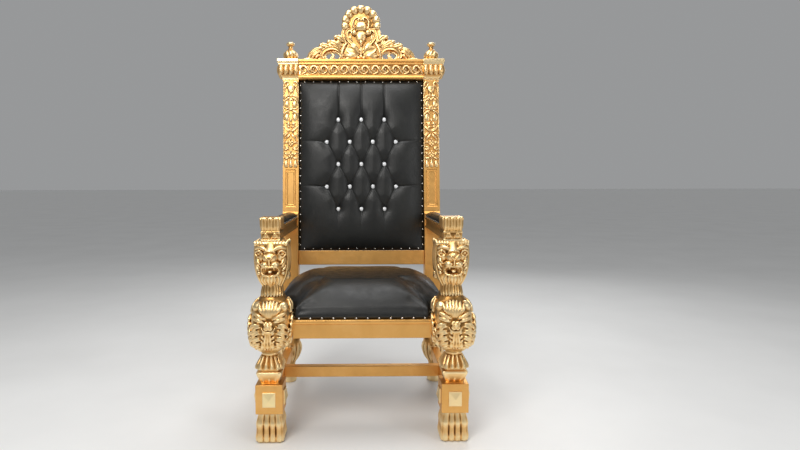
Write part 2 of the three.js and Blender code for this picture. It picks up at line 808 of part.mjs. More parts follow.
function armRail() {
  const front = LEG.y + ARM_BLOCK.rear + GAP;
  const { inner, outer, bottom, top } = ARM;
  const bead = 8;
  const ease = 5; // the beads slope down to the sunk faces
  const sunk = 4;
  const section = [
    [outer, bottom],
    [outer, bottom + bead],
    [outer - sunk, bottom + bead + ease],
    [outer - sunk, top - bead - ease],
    [outer, top - bead],
    [outer, top],
    [inner, top],
    [inner, top - bead],
    [inner + sunk, top - bead - ease],
    [inner + sunk, bottom + bead + ease],
    [inner, bottom + bead],
    [inner, bottom],
  ];
  return loft([section.map(([x, z]) => V(x, front, z)), section.map(([x, z]) => V(x, postFaceAt(z), z))]);
}

function armPad() {
  const front = LEG.y + ARM_BLOCK.rear + GAP;
  const bottom = ARM.top + GAP;
  const rise = ARM.padTop - bottom;
  const middle = (ARM.inner + ARM.outer) / 2;
  const half = (ARM.outer - ARM.inner) / 2;
  const arc = 6;
  const section = (along, share) =>
    range(arc + 1)
      .map((i) => {
        const a = Math.PI * (i / arc);
        const z = bottom + rise * share * Math.sin(a) ** 0.8;
        return V(middle + half * Math.cos(a), along(z), z);
      })
      .reverse();
  const at = (share) => (z) => lerp(front, postFaceAt(z), share);
  const shares = [
    [1, 0.8],
    [0.9, 1],
    [0.5, 1],
    [0.1, 1],
    [0, 0.7],
  ];
  return loft(shares.map(([along, full]) => section(at(along), full)));
}

function frontRail() {
  const end = LEG.x + headShift(425) - SHOULDER.core - GAP;
  const { railBottom, railTop, front } = SEAT;
  const rear = front + RAIL_THICK;
  const profile = [
    [rear, railBottom],
    [rear, railTop],
    [front + 5, railTop],
    [front, railTop - 4],
    [front + 1, railTop - 13],
    [front + 6, railTop - 18],
    [front + 6, railBottom],
  ];
  return moulding(profile, end);
}

// ---- Assembly -----------------------------------------------------------------------------------

const throne = new THREE.Group();
const back = new THREE.Group(); // everything that leans with the back
back.position.set(0, LEAN.y, LEAN.z);
back.rotation.x = -LEAN.angle;
throne.add(back);

function place(parent, name, geometry, material, x = 0, y = 0, z = 0) {
  const mesh = new THREE.Mesh(geometry, material());
  mesh.name = name;
  mesh.position.set(x, y, z);
  parent.add(mesh);
  return mesh;
}

/** Places a piece made for the +X side and its mirror image. */
function placePair(parent, name, geometry, material, x = 0, y = 0, z = 0) {
  place(parent, `${name}_right`, geometry, material, x, y, z);
  place(parent, `${name}_left`, geometry, material, -x, y, z).scale.x = -1;
}

const sideRailStart = LEG.y + SHOULDER.coreRear + GAP;
const stretcherStart = LEG.y + BLOCK.half + GAP;
const stretcherInner = LEG.x - STRETCHER.half - GAP;

placePair(throne, "front_leg", frontLeg(), gold, LEG.x, LEG.y);
placePair(throne, "back_post", backPost(), gold);
placePair(throne, "arm_rail", armRail(), gold);
placePair(throne, "arm_pad", armPad(), leather);
placePair(
  throne,
  "side_rail",
  box(332, 332 + 34, sideRailStart, LEAN.y - GAP, SEAT.railBottom, SEAT.railTop),
  gold,
);
placePair(
  throne,
  "side_stretcher",
  box(stretcherInner + GAP, LEG.x + STRETCHER.half, stretcherStart, 262 - GAP, STRETCHER.bottom, STRETCHER.top),
  gold,
);
place(throne, "front_rail", frontRail(), gold);
place(
  throne,
  "rear_rail",
  box(-POST.inner + GAP, POST.inner - GAP, LEAN.y + 6, LEAN.y + 6 + 40, SEAT.railBottom, SEAT.railTop),
  gold,
);
place(
  throne,
  "cross_stretcher",
  box(-stretcherInner, stretcherInner, -STRETCHER.half, STRETCHER.half, STRETCHER.bottom, STRETCHER.top),
  gold,
);
place(throne, "seat_cushion", seatCushion(), leather);

placePair(back, "finial", finial(), gold, 341, 28, LEVEL.cornice[1] + GAP);
place(back, "cornice", cornice(), gold);
place(back, "crest", crest(), gold);
place(
  back,
  "back_rail",
  box(-POST.inner + GAP, POST.inner - GAP, 4, 48, LEVEL.backRail[0], LEVEL.backRail[1]),
  gold,
);
place(back, "back_pad", backPad(), leather);
place(back, "back_board", backBoard(), leather);
BUTTONS.forEach((spot, i) => place(back, `button_${String(i + 1).padStart(2, "0")}`, button(spot), crystal));

throne.updateMatrixWorld(true);
const reach = new THREE.Box3().setFromObject(throne, true);
throne.position.y = -(reach.min.y + reach.max.y) / 2;

export default throne;
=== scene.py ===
# The looks of a carved and gilded throne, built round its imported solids. Shapes are made in
# millimetres in the chair's own frame, x to its side, y to its rear and z up. piece() moves them by
# SHIFT_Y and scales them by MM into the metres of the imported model.

import math

import bpy
import numpy as np
from mathutils import Matrix, Vector
from mathutils.geometry import tessellate_polygon


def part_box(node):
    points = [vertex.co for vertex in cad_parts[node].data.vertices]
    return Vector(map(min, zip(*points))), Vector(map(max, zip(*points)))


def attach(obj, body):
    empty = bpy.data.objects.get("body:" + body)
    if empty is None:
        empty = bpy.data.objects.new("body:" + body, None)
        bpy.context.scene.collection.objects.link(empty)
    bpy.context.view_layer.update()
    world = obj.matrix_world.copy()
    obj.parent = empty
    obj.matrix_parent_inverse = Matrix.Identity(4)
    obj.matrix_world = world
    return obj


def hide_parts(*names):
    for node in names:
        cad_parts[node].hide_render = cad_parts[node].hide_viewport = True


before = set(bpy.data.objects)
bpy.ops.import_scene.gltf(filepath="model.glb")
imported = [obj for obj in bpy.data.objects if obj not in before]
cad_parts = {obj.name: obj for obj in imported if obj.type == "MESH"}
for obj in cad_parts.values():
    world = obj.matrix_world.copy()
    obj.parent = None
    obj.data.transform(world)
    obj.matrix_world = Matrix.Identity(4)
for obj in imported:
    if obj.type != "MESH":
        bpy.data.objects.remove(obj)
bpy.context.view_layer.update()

# ---- Driving dimensions --------------------------------------------------------------------------

MM = 0.001
LEAN_Y, LEAN_Z, LEAN = 253.0, 470.0, math.atan(0.12)
FRONT = -303.0  # front of the seat rail in the chair's frame
SHIFT_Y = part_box("front_rail")[0].y / MM - FRONT

POST_IN, POST_OUT, POST_DEPTH = 298.0, 373.0, 56.0
POST_X = (POST_IN + POST_OUT) / 2
PANEL = (187.0, 1002.0)
PANEL_MIDDLE = sum(PANEL) / 2
CORNICE = (1002.3, 1099.0)
FRIEZE = (1023.0, 1074.0)
CARVING = (582.0, 998.0)
BED = CORNICE[1] + 0.3  # what the crest and the finials stand on

LEG_X, LEG_Y, HEAD_SHIFT = 348.0, -280.0, -15.0
RAIL = (390.0, 462.0)
STRETCHER = (146.0, 192.0)
ARM_IN, ARM_OUT, ARM_Z = 300.0, 371.0, (765.0, 812.0)
BUTTON_DX, BUTTON_DZ, BUTTON_ROWS = 109.0, 106.5, (3, 4, 3, 4, 3)
LEATHER_Y, LEATHER_REAR_Y = 12.5, 13.6  # the back leather's edge and flat rear, behind the posts' fronts
BOARD_Y, BOARD_EDGE = 14.5, 20.0  # where the rear cover starts, and how far its edge stands out
SEAT_CROWN, SEAT_HALF, SEAT_REAR = 593.0, 350.0, 299.0
SEAT_AT_LEG, SEAT_AT_POST = (262.0, -203.0), (294.0, 238.0)  # inner corners of what the seat goes round
SHOULDER_BACK = 83.0  # how far the shoulder reaches inwards to the front rail
NAIL, ARM_NAIL = dict(radius=3.3, height=2.2), dict(radius=3.0, height=1.8)
CAMERA_AT, CAMERA_TURN = (-0.0045, -2.413, 0.975), (-0.074, 0.002, -0.014)
CAMERA_LENS, CAMERA_SHIFT = 25.73, 0.0394

# ---- Shapes: each is an array of points and a list of faces --------------------------------------


def spline(points, count):
    """Places along a smooth curve through the points."""
    p = np.asarray(points, float)
    p = np.vstack([2 * p[0] - p[1], p, 2 * p[-1] - p[-2]])
    t = np.linspace(0, len(points) - 1, count)
    i = np.minimum(t.astype(int), len(points) - 2)
    f = (t - i)[:, None]
    a, b, c, d = p[i], p[i + 1], p[i + 2], p[i + 3]
    return 0.5 * (2 * b + (c - a) * f + (2 * a - 5 * b + 4 * c - d) * f**2 + (3 * b - a - 3 * c + d) * f**3)


def unit(v):
    return v / np.maximum(np.linalg.norm(v, axis=-1, keepdims=True), 1e-9)


def loft(rings):
    """A closed solid through rings of equal length."""
    rings = np.asarray(rings, float)
    count, n = rings.shape[:2]
    faces = [
        (r * n + i, r * n + (i + 1) % n, (r + 1) * n + (i + 1) % n, (r + 1) * n + i)
        for r in range(count - 1)
        for i in range(n)
    ]
    faces.append(tuple(range(n))[::-1])
    faces.append(tuple((count - 1) * n + i for i in range(n)))
    return rings.reshape(-1, 3), faces


def ball(x, y, z, rx, ry=None, rz=None, around=16):
    ry, rz = ry or rx, rz or rx
    a = np.linspace(0, 2 * np.pi, around, endpoint=False)
    rings = [
        np.stack(
            [x + rx * np.sin(b) * np.cos(a), y + ry * np.sin(b) * np.sin(a), z - rz * np.cos(b) + 0 * a], -1
        )
        for b in np.linspace(0.05, np.pi - 0.05, around // 2 + 1)
    ]
    return loft(rings)


def section(form):
    """The outline across a stroke, as (across, height) at half width 1."""
    u = np.linspace(-1, 1, 15)
    arch = np.sqrt(np.maximum(1 - u**2, 0))
    heights = {
        "round": arch,
        "ridge": 1 - np.abs(u) ** 1.2,
        "vein": arch * (1 - 0.5 * np.exp(-((u / 0.2) ** 2))),
        "hollow": np.where(np.abs(u) > 0.99, 0.2, 0.3 + 0.7 * np.abs(u) ** 2.5 * (np.abs(u) < 0.97)),
    }
    top = np.stack([u, heights[form]], -1)
    return np.vstack([top, [(0.85, -0.6), (0, -0.8), (-0.85, -0.6)]])


def stroke(points, width, rise=1.0, form="round", out=(0, -1, 0), count=None):
    """A carved stroke through the points. width is its half width: a number, two, or a function
    of the share of its length; out is where the carved face looks, one way or one for each step."""
    count = count or 8 * len(points)
    path = spline(points, count)
    t = np.linspace(0, 1, count)
    if callable(width):
        half = width(t)
    else:
        half = np.interp(t, np.linspace(0, 1, np.size(width)), np.atleast_1d(width))
    half = np.maximum(half, 0.4)
    along = unit(np.gradient(path, axis=0))
    out = np.asarray(out, float)
    if out.ndim == 2 and len(out) != count:
        out = spline(out, count)
    across = unit(np.cross(np.broadcast_to(out, path.shape), along))
    up = np.cross(along, across)
    u, h = section(form).T
    scaled = half[:, None, None]
    return loft(
        path[:, None] + scaled * (
            across[:, None] * u[None, :, None] + rise * up[:, None] * h[None, :, None]
        )
    )


def leaf(half, peak=0.4):
    """Half width of a leaf along its length: fullest near peak and pointed at both ends."""
    power = math.log(0.5) / math.log(peak)
    return lambda t: half * np.sin(np.pi * t**power) ** 0.8


def bud(half, peak=0.7):
    """Half width of a lobe: narrow at its root, full and round near its tip."""
    return lambda t: half * (0.35 + 0.65 * np.sin(np.pi * np.minimum(t / peak, 1) / 2)) * np.sqrt(
        np.maximum(1 - np.maximum((t - peak) / (1 - peak), 0) ** 2, 0.02)
    )


def box(x0, x1, y0, y1, z0, z1):
    ring = lambda z: [(x0, y0, z), (x1, y0, z), (x1, y1, z), (x0, y1, z)]
    return loft([ring(z0), ring(z1)])


def slab(outline, holes, y0, y1):
    """A flat plate with holes, between two depths, from outlines given as (x, z)."""
    loops = [np.asarray(loop, float) for loop in [outline, *holes]]
    flat = np.vstack(loops)
    n = len(flat)
    caps = tessellate_polygon([[Vector((x, z, 0)) for x, z in loop] for loop in loops])
    points = np.vstack([np.insert(flat, 1, y, axis=1) for y in (y0, y1)])
    faces = [tuple(t) for t in caps] + [tuple(i + n for i in t[::-1]) for t in caps]
    start = 0
    for loop in loops:
        m = len(loop)
        for i in range(m):
            a, b = start + i, start + (i + 1) % m
            faces.append((a, b, b + n, a + n))
        start += m
    return points, faces


def moved(shapes, change):
    """The shapes with their points passed through a function."""
    return [(change(points), faces) for points, faces in shapes]


def leaned(p):
    """From the back's own frame, y from the posts' front faces and z up the posts, to the chair's."""
    c, s = math.cos(LEAN), math.sin(LEAN)
    return np.stack(
        [p[..., 0], LEAN_Y + p[..., 1] * c + p[..., 2] * s, LEAN_Z - p[..., 1] * s + p[..., 2] * c], -1
    )


def from_leg(p):
    return p + (LEG_X, LEG_Y, 0)


def mirrored(shapes):
    return [(points * (-1, 1, 1), [f[::-1] for f in faces]) for points, faces in shapes]


def both(shapes):
    """The shapes and their mirror image."""
    return [*shapes, *mirrored(shapes)]


# ---- From shapes to pieces -----------------------------------------------------------------------


def piece(name, shapes, material, smooth_angle=35):
    points = np.vstack([p for p, _ in shapes]) + (0, SHIFT_Y, 0)
    faces, start = [], 0
    for p, shape_faces in shapes:
        faces += [tuple(i + start for i in f) for f in shape_faces]
        start += len(p)
    mesh = bpy.data.meshes.new(name)
    mesh.from_pydata((points * MM).tolist(), [], faces)
    obj = bpy.data.objects.new(name, mesh)
    bpy.context.scene.collection.objects.link(obj)
    mesh.materials.append(material)
    mesh.shade_smooth()
    mesh.set_sharp_from_angle(angle=math.radians(smooth_angle))
    return obj


def apply_modifiers(obj):
    bpy.context.view_layer.update()
    made = bpy.data.meshes.new_from_object(obj.evaluated_get(bpy.context.evaluated_depsgraph_get()))
    obj.modifiers.clear()
    old, obj.data = obj.data, made
    name = old.name
    bpy.data.meshes.remove(old)
    made.name = name


def points_of(mesh):
    at = np.empty(len(mesh.vertices) * 3)
    mesh.vertices.foreach_get("co", at)
    return at.reshape(-1, 3)


def set_points(mesh, at):
    mesh.vertices.foreach_set("co", at.ravel())
    mesh.update()


def triangles(mesh):
    return sum(len(p.vertices) - 2 for p in mesh.polygons)


def fuse(name, shapes, material, voxel, most, ease=3):
    """One carved piece from overlapping shapes: fused on a fine grid, eased, with `most` triangles."""
    obj = piece(name, shapes, material)
    remesh = obj.modifiers.new("fuse", "REMESH")
    remesh.mode = "VOXEL"
    remesh.voxel_size = voxel * MM * 1
    remesh.use_smooth_shade = True
    soften = obj.modifiers.new("soften", "SMOOTH")
    soften.factor = 0.5
    soften.iterations = ease
    apply_modifiers(obj)
    made = triangles(obj.data)
    if made > most:
        thin = obj.modifiers.new("thin", "DECIMATE")
        thin.ratio = most / made
        apply_modifiers(obj)
    obj.data.shade_smooth()
    mark_relief(obj.data)
    return obj


def eased(name, shapes, material, width=2.0):
    """A plain member with its edges rounded over."""
    obj = piece(name, shapes, material, 40)
    bevel = obj.modifiers.new("edges", "BEVEL")
    bevel.width = width * MM
    bevel.segments = 3
    bevel.limit_method = "ANGLE"
    bevel.angle_limit = math.radians(25)
    bevel.harden_normals = True
    apply_modifiers(obj)
    return obj


def mark_relief(mesh, reach=14):
    """Keeps on each point how far it lies under or over the smoothed surface, for the gilding's painted
    shade in the hollows and painted highlight on the ridges.
    """
    n = len(mesh.vertices)
    at, normal = points_of(mesh), np.empty(n * 3)
    mesh.vertex_normals.foreach_get("vector", normal)
    normal = normal.reshape(-1, 3)
    edges = np.empty(len(mesh.edges) * 2, int)
    mesh.edges.foreach_get("vertices", edges)
    a, b = edges.reshape(-1, 2).T
    degree = np.maximum(np.bincount(edges, minlength=n), 1)

    def mean(values):
        return np.stack(
            [
                (np.bincount(a, values[:, k][b], n) + np.bincount(b, values[:, k][a], n)) / degree
                for k in range(values.shape[1])
            ],
            -1,
        )

    smooth = at
    for _ in range(reach):
        smooth = 0.4 * smooth + 0.6 * mean(smooth)
    sunk = ((smooth - at) * normal).sum(1) / (2.2 * MM)
    for _ in range(2):
        sunk = mean(sunk[:, None])[:, 0]
    mesh.attributes.new("relief", "FLOAT", "POINT").data.foreach_set(
        "value", np.clip(0.5 + 0.5 * sunk, 0, 1)
    )


def twin(obj, name):
    """The mirror image of a piece."""
    mesh = obj.data.copy()
    mesh.name = name
    mesh.transform(Matrix.Scale(-1, 4, (1, 0, 0)))
    mesh.flip_normals()
    other = bpy.data.objects.new(name, mesh)
    bpy.context.scene.collection.objects.link(other)
    return other


def finish_piece(obj, slot, *nodes):
    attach(obj, "root")
    if nodes:
        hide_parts(*nodes)
    return obj


def pair(obj, slot, *nodes):
    """Settles a piece made for the +X side, and its mirror image."""
    stem = obj.name.removesuffix("_right")
    other = twin(obj, f"{stem}_left")
    finish_piece(obj, slot, *(f"{n}_right" for n in nodes))
    finish_piece(other, slot, *(f"{n}_left" for n in nodes))
    return obj, other


# ---- Materials -----------------------------------------------------------------------------------


class Surface:
    """A Principled material, its pattern space and the few nodes that all the materials use."""

    def __init__(self, name, metallic, roughness):
        self.material = bpy.data.materials.new(name)
        self.material.use_nodes = True
        tree = self.material.node_tree
        self.nodes, self.link = tree.nodes, tree.links.new
        self.inputs = self.nodes["Principled BSDF"].inputs
        self.inputs["Metallic"].default_value = metallic
        self.inputs["Roughness"].default_value = roughness
        self.where = self.nodes.new("ShaderNodeTexCoord").outputs["Object"]

    def node(self, kind, **values):
        """A node with its sockets set to plain values or joined to other nodes."""
        made = self.nodes.new(f"ShaderNode{kind}")
        for name, value in values.items():
            self.set(made.inputs[name.replace("_", " ")], value)
        return made

    def set(self, socket, value):
        if isinstance(value, bpy.types.NodeSocket):
            self.link(value, socket)
        else:
            socket.default_value = value

    def noise(self, scale, detail=4, roughness=0.55):
        return self.node(
            "TexNoise", Scale=scale, Detail=detail, Roughness=roughness, Vector=self.where
        ).outputs["Fac"]

    def ramp(self, source, *stops):
        """Colours along a value, from stops of (place, colour)."""
        node = self.node("ValToRGB", Fac=source)
        spots = node.color_ramp.elements
        while len(spots) < len(stops):
            spots.new(0.5)
        for spot, (at, colour) in zip(spots, stops):
            spot.position = at
            spot.color = (*colour, 1)
        return node.outputs["Color"]

    def spread(self, source, low, high, start=0.3, end=0.7):
        """The source's run from start to end, stretched to run from low to high."""
        return self.node(
            "MapRange", From_Min=start, From_Max=end, To_Min=low, To_Max=high, Value=source
        ).outputs["Result"]

    def mix(self, share, a, b):
        node = self.nodes.new("ShaderNodeMix")
        node.data_type = "RGBA"
        for name, value in (("Factor", share), ("A", a), ("B", b)):
            self.set([s for s in node.inputs if s.name == name and s.enabled][0], value)
        return [s for s in node.outputs if s.enabled][0]

    def bump(self, *layers):
        """Fine relief from layers of (height, strength, depth in metres)."""
        before = None
        for height, strength, depth in layers:
            node = self.node("Bump", Strength=strength, Distance=depth, Height=height)
            if before:
                self.link(before, node.inputs["Normal"])
            before = node.outputs["Normal"]
        self.set(self.inputs["Normal"], before)

    def done(self, colour, roughness=None):
        """The finished material, with these for its colour and its roughness."""
        self.set(self.inputs["Base Color"], colour)
        if roughness:
            self.set(self.inputs["Roughness"], roughness)
        return self.material


def carved_gold():
    """Burnished gold leaf on carving: pale on its ridges as a painted highlight, brown to near black in its
    hollows as painted shade.
    """
    gold = Surface("carved_gold", 1.0, 0.28)
    relief = gold.nodes.new("ShaderNodeAttribute")
    relief.attribute_name = "relief"
    # painted highlight where the carving stands out, painted shade where it sinks in
    tone = gold.ramp(
        relief.outputs["Fac"], (0.2, (1.0, 0.79, 0.44)), (0.44, (0.92, 0.60, 0.26)),
        (0.58, (0.55, 0.29, 0.085)), (0.76, (0.11, 0.045, 0.012)),
    )
    mottle = gold.spread(gold.noise(60), 0.0, 0.3, 0.35, 0.75)
    gold.bump((gold.noise(160, 2), 0.14, 0.0006), (gold.noise(900, 2), 0.06, 0.0002))
    return gold.done(
        gold.mix(mottle, tone, (0.80, 0.48, 0.18, 1)), gold.spread(gold.noise(140), 0.28, 0.42)
    )


def plain_gold(name="plain_gold", light=(0.0, 0.0, 0.0)):
    """Satin gold on the plain members, warmer and a little streaked; light is added to its colours as a
    painted highlight.
    """
    gold = Surface(name, 1.0, 0.38)
    tones = (0.3, (0.78, 0.42, 0.125)), (0.5, (0.84, 0.46, 0.14)), (0.72, (0.90, 0.52, 0.18))
    tone = gold.ramp(
        gold.noise(9, 6, 0.6),
        *((at, tuple(np.minimum(1, np.add(colour, light)).tolist())) for at, colour in tones),
    )
    gold.bump((gold.noise(35, 3), 0.12, 0.0012), (gold.noise(700, 2), 0.12, 0.0002))
    return gold.done(tone, gold.spread(gold.noise(45), 0.36, 0.48))


def black_leather():
    hide = Surface("black_leather", 0.0, 0.4)
    hide.inputs["Specular IOR Level"].default_value = 0.42
    grain = hide.nodes.new("ShaderNodeTexVoronoi")
    grain.feature = "DISTANCE_TO_EDGE"
    grain.inputs["Scale"].default_value = 620
    hide.link(hide.where, grain.inputs["Vector"])
    creases = hide.spread(grain.outputs["Distance"], 0, 1, 0.0, 0.25)
    hide.bump((creases, 0.22, 0.00035), (hide.noise(90, 3), 0.15, 0.0008))
    tone = hide.ramp(hide.noise(14, 5), (0.35, (0.008, 0.0083, 0.008)), (0.7, (0.014, 0.0145, 0.013)))
    return hide.done(tone, hide.spread(hide.noise(30), 0.34, 0.48))


def nail_silver():
    silver = Surface("nail_silver", 1.0, 0.25)
    tone = silver.ramp(silver.noise(300), (0.3, (0.62, 0.60, 0.56)), (0.6, (0.82, 0.81, 0.78)))
    return silver.done(tone, silver.spread(silver.noise(900), 0.12, 0.3))


def cut_crystal():
    """Clear by its plain alpha, so that light reaches the foil behind it."""
    crystal = Surface("cut_crystal", 0.0, 0.03)
    crystal.inputs["Alpha"].default_value = 0.4
    crystal.inputs["IOR"].default_value = 1.6
    crystal.bump((crystal.noise(120, 2), 0.06, 0.0003))
    return crystal.done((0.98, 0.99, 1.0, 1))


def bright_foil():
    """The white metal backing that throws light back through each crystal."""
    foil = Surface("bright_foil", 0.25, 0.3)
    return foil.done(foil.ramp(foil.noise(400), (0.3, (0.86, 0.87, 0.9)), (0.6, (0.97, 0.98, 1.0))))


GOLD_CARVED = carved_gold()
GOLD_PLAIN = plain_gold()
# the studs' gold: the plain gold painted lighter, a painted highlight
GOLD_STUD_HIGHLIT = plain_gold("highlit_stud_gold", (0.2, 0.32, 0.28))
LEATHER = black_leather()
SILVER = nail_silver()
CRYSTAL = cut_crystal()
FOIL = bright_foil()

# ---- Front leg, about its own axis, for the +X side ----------------------------------------------


def head_shift(z):
    t = np.clip((np.asarray(z, float) - 300) / 300, 0, 1)
    return HEAD_SHIFT * t * t * (3 - 2 * t)


BULB = np.array(
    [  # height, half width, depth, middle's y, squareness power
        (338, 27, 28, 0, 3.4), (346, 40, 42, -3, 3.2), (362, 56, 60, -7, 3.0),
        (390, 67, 71, -10, 3.0), (430, 72, 76, -13, 3.2), (470, 73, 77, -14, 3.2),
        (505, 70, 74, -13, 3.0), (532, 60, 64, -9, 2.6), (552, 47, 51, -7, 2.3),
        (572, 39, 43, -6, 2.1), (590, 37, 41, -6, 2.0), (612, 40, 46, -7, 2.0),
    ]
)


def on_bulb(degrees, z, lift=0.0):
    """A point on the shoulder, the way round from its front, at a height and standing out by lift."""
    half, depth, y, power = (np.interp(z, BULB[:, 0], BULB[:, k]) for k in (1, 2, 3, 4))
    a = np.radians(degrees)
    s, c = np.sin(a), np.cos(a)
    reach = (np.abs(s) ** power + np.abs(c) ** power) ** (-1 / power)
    x = (half + lift) * s * reach + head_shift(z)
    return np.stack([x, -(depth + lift) * c * reach + y, np.asarray(z, float) + 0 * x], -1)


def bulb_stroke(spots, width, rise=0.7, form="round"):
    """A stroke over the shoulder through spots given as (degrees, height, lift)."""
    spots = np.asarray(spots, float)
    points = on_bulb(*spots.T)
    a = np.radians(spots[:, 0])
    out = np.stack([np.sin(a), -np.cos(a), 0 * a], -1)
    return stroke(points, width, rise, form, out)


def acanthus(turn, top, length, half, lobes=4, lift=4.0):
    """A leaf that hangs down the shoulder: a grooved rib, paired lobes and a tip that curls out."""
    low = top - length
    shapes = [
        bulb_stroke(
            [
                (turn, top, 1), (turn, top - 0.45 * length, lift), (turn, low + 6, lift + 5),
                (turn, low, lift + 8),
            ],
            leaf(half * 0.5, 0.6), 0.8, "vein",
        )
    ]
    for i in range(lobes):
        z = top - length * (0.1 + 0.75 * i / lobes)
        reach = half * (0.75 + 0.35 * math.sin(math.pi * (i + 1) / (lobes + 1)))
        for side in (-1, 1):
            shapes.append(
                bulb_stroke(
                    [
                        (turn + side * 2, z, lift), (turn + side * reach * 0.62, z - 7, lift + 2.5),
                        (turn + side * reach, z - 21, lift + 3.5),
                    ],
                    bud(half * 0.26),
                    0.9,
                )
            )
    return shapes


def stem_ring(z, half, power=9.0, y=0.0, around=48):
    a = np.linspace(0, 2 * np.pi, around, endpoint=False) + np.pi / 4
    s, c = np.sin(a), np.cos(a)
    reach = half * (np.abs(s) ** power + np.abs(c) ** power) ** (-1 / power)
    return np.stack([reach * s, -reach * c + y, 0 * a + z], -1)


def quarter_turns():
    """The four ways to turn points about the leg's axis, a quarter of a turn apart."""

    def spin(turn):
        c, s = math.cos(turn * math.pi / 2), math.sin(turn * math.pi / 2)
        return lambda p: np.stack(
            [p[..., 0] * c - p[..., 1] * s, p[..., 0] * s + p[..., 1] * c, p[..., 2]], -1
        )

    return [spin(turn) for turn in range(4)]


def around_square(count, half, make):
    """Repeats make(offset) along each side of a square stem, turned to face outwards."""
    shapes = []
    for spin in quarter_turns():
        for k in range(count):
            offset = (k - (count - 1) / 2) * 2 * half / count
            shapes += moved(make(offset), spin)
    return shapes


def leg_waist():
    """The tapered slab over the block, the recess, and the leafy pyramid under the shoulder."""
    slab_body = loft(
        [
            stem_ring(z, half, 16)
            for z, half in ((219, 34), (229, 35), (233, 37), (262, 48), (267, 48.5), (270, 47))
        ]
    )
    recess = loft([stem_ring(z, 35, 9) for z in (266, 284)])
    pyramid = loft(
        [
            stem_ring(z, half, p)
            for z, half, p in ((279, 44, 12), (283, 45, 12), (304, 37, 8), (324, 28, 4), (330, 26, 3))
        ]
    )
    collar = loft(
        [stem_ring(z, half, 2.2) for z, half in ((326, 26), (330, 31), (336, 32), (341, 29), (350, 27))]
    )

    def flame(offset):
        return [
            stroke(
                [(offset * 0.8, -35, 227), (offset * 0.85, -38, 238), (offset * 0.9, -42, 248)],
                leaf(4.6, 0.4), 0.5,
            )
        ]

    def petal(offset):
        lean = offset / 46
        return [
            stroke(
                [(offset, -46, 281), (offset * 0.9, -43, 296), (lean * 27, -30, 327)], [9.5, 9.5, 5],
                0.85, "ridge",
            ),
            stroke(
                [(offset, -50, 283), (offset * 0.9, -47, 296), (lean * 27, -33, 324)], [2.6, 2.6, 1.6], 1.0
            ),
        ]

    return [slab_body, recess, pyramid, collar, *around_square(3, 40, flame), *around_square(4, 46, petal)]


def shoulder():
    """The swelling shoulder: a shell over a flower, a ribbed leaf below, leaf clusters at the sides."""
    a = np.linspace(-180, 180, 48, endpoint=False)
    core = loft([on_bulb(a, np.full_like(a, z)) for z in np.concatenate([np.arange(338, 600, 8), [612]])])
    shapes = [core]
    flower = on_bulb(0, 458, 7)
    for k in range(4):
        t = math.radians(45 + 90 * k)
        tip = flower + (19 * math.cos(t), 1, 20 * math.sin(t))
        shapes.append(stroke([flower, (flower + tip) / 2 + (0, -3, 0), tip], bud(9.5, 0.6), 0.7, "vein"))
    shapes.append(ball(*(flower + (0, -6, 0)), 8))
    setting = [(23 * math.cos(t), 30 * math.sin(t)) for t in np.radians(np.linspace(205, 335, 7))]
    shapes.append(bulb_stroke([(x * 0.9, 462 + z, 3) for x, z in setting], leaf(6, 0.5), 0.8))
    for k in range(-3, 4):  # shell
        shapes.append(
            bulb_stroke(
                [(k * 3.5, 486, 1), (k * 9, 514, 4.5), (k * 12.5, 549 - 1.4 * k * k, 5)],
                bud(6.6, 0.75), 0.65,
            )
        )
    for k in range(-4, 5):  # the folds of the beard that come down over the neck
        wide = 1 - 0.02 * k * k
        shapes.append(
            bulb_stroke(
                [
                    (k * 15, 612, 0), (k * 15, 592, 3.5 * wide), (k * 15, 574, 5 * wide),
                    (k * 13, 557, 5 * wide),
                ],
                bud(6.6, 0.6),
                0.75,
            )
        )
    for side in (-1, 1):
        for turn, z, rise in ((9, 480, 22), (13, 470, 14)):  # leaves in a V from the flower to the corners
            shapes.append(
                bulb_stroke(
                    [(side * turn, z, 3), (side * 26, z + rise * 0.55, 5.5), (side * 45, z + rise, 5)],
                    bud(7.5, 0.6), 0.75, "vein",
                )
            )
        shapes.append(ball(*on_bulb(side * 47, 520, -11), 23, 23, 21, 24))
        for z, reach in ((428, 17), (411, 19), (394, 20), (377, 19)):  # leaflets along the ribbed leaf
            shapes.append(
                bulb_stroke([(side * 9, z - 6, 2), (side * reach, z + 7, 4)], leaf(4.5, 0.5), 0.9)
            )
        for z, reach in ((452, 52), (428, 55), (403, 54), (380, 50)):  # clusters that lap over one another
            for low, turn, half in ((0, 0, 7.5), (-8, -10, 6)):
                shapes.append(
                    bulb_stroke(
                        [
                            (side * (25 + turn / 3), z + 8 + low, 2),
                            (side * (38 + turn / 2), z + 6 + low, 6),
                            (side * (reach + turn), z - 10 + low, 7),
                        ],
                        bud(half, 0.6), 0.8, "vein",
                    )
                )
    for x in (-8, 0, 8):
        shapes.append(bulb_stroke([(x * 0.5, 436, 3), (x, 400, 5), (x * 1.1, 362, 4)], [3.6, 4.4, 3], 0.9))
    shapes += acanthus(90, 500, 126, 26, 5)
    shapes += acanthus(-90, 500, 126, 26, 5)
    for turn in (68, 112, -68, -112, 145, -145, 180):
        shapes += acanthus(turn, 450, 82, 17, 3, 2.5)
    for side in (-1, 1):  # rolled volutes on the side faces
        for around, lift in ((74, 3), (112, 3)):
            shapes.append(
                bulb_stroke(
                    [
                        (side * around, 496, lift), (side * around, 520, lift + 3),
                        (side * (around + 10), 540, lift),
                    ],
                    7,
                    0.7,
                )
            )
    for turn in range(-176, 180, 16):  # ragged lower edge over a smooth bowl
        shapes.append(
            bulb_stroke([(turn, 392, 2), (turn, 378, 4), (turn, 368, 6)], bud(6.5, 0.6), 0.8, "vein")
        )
    return shapes


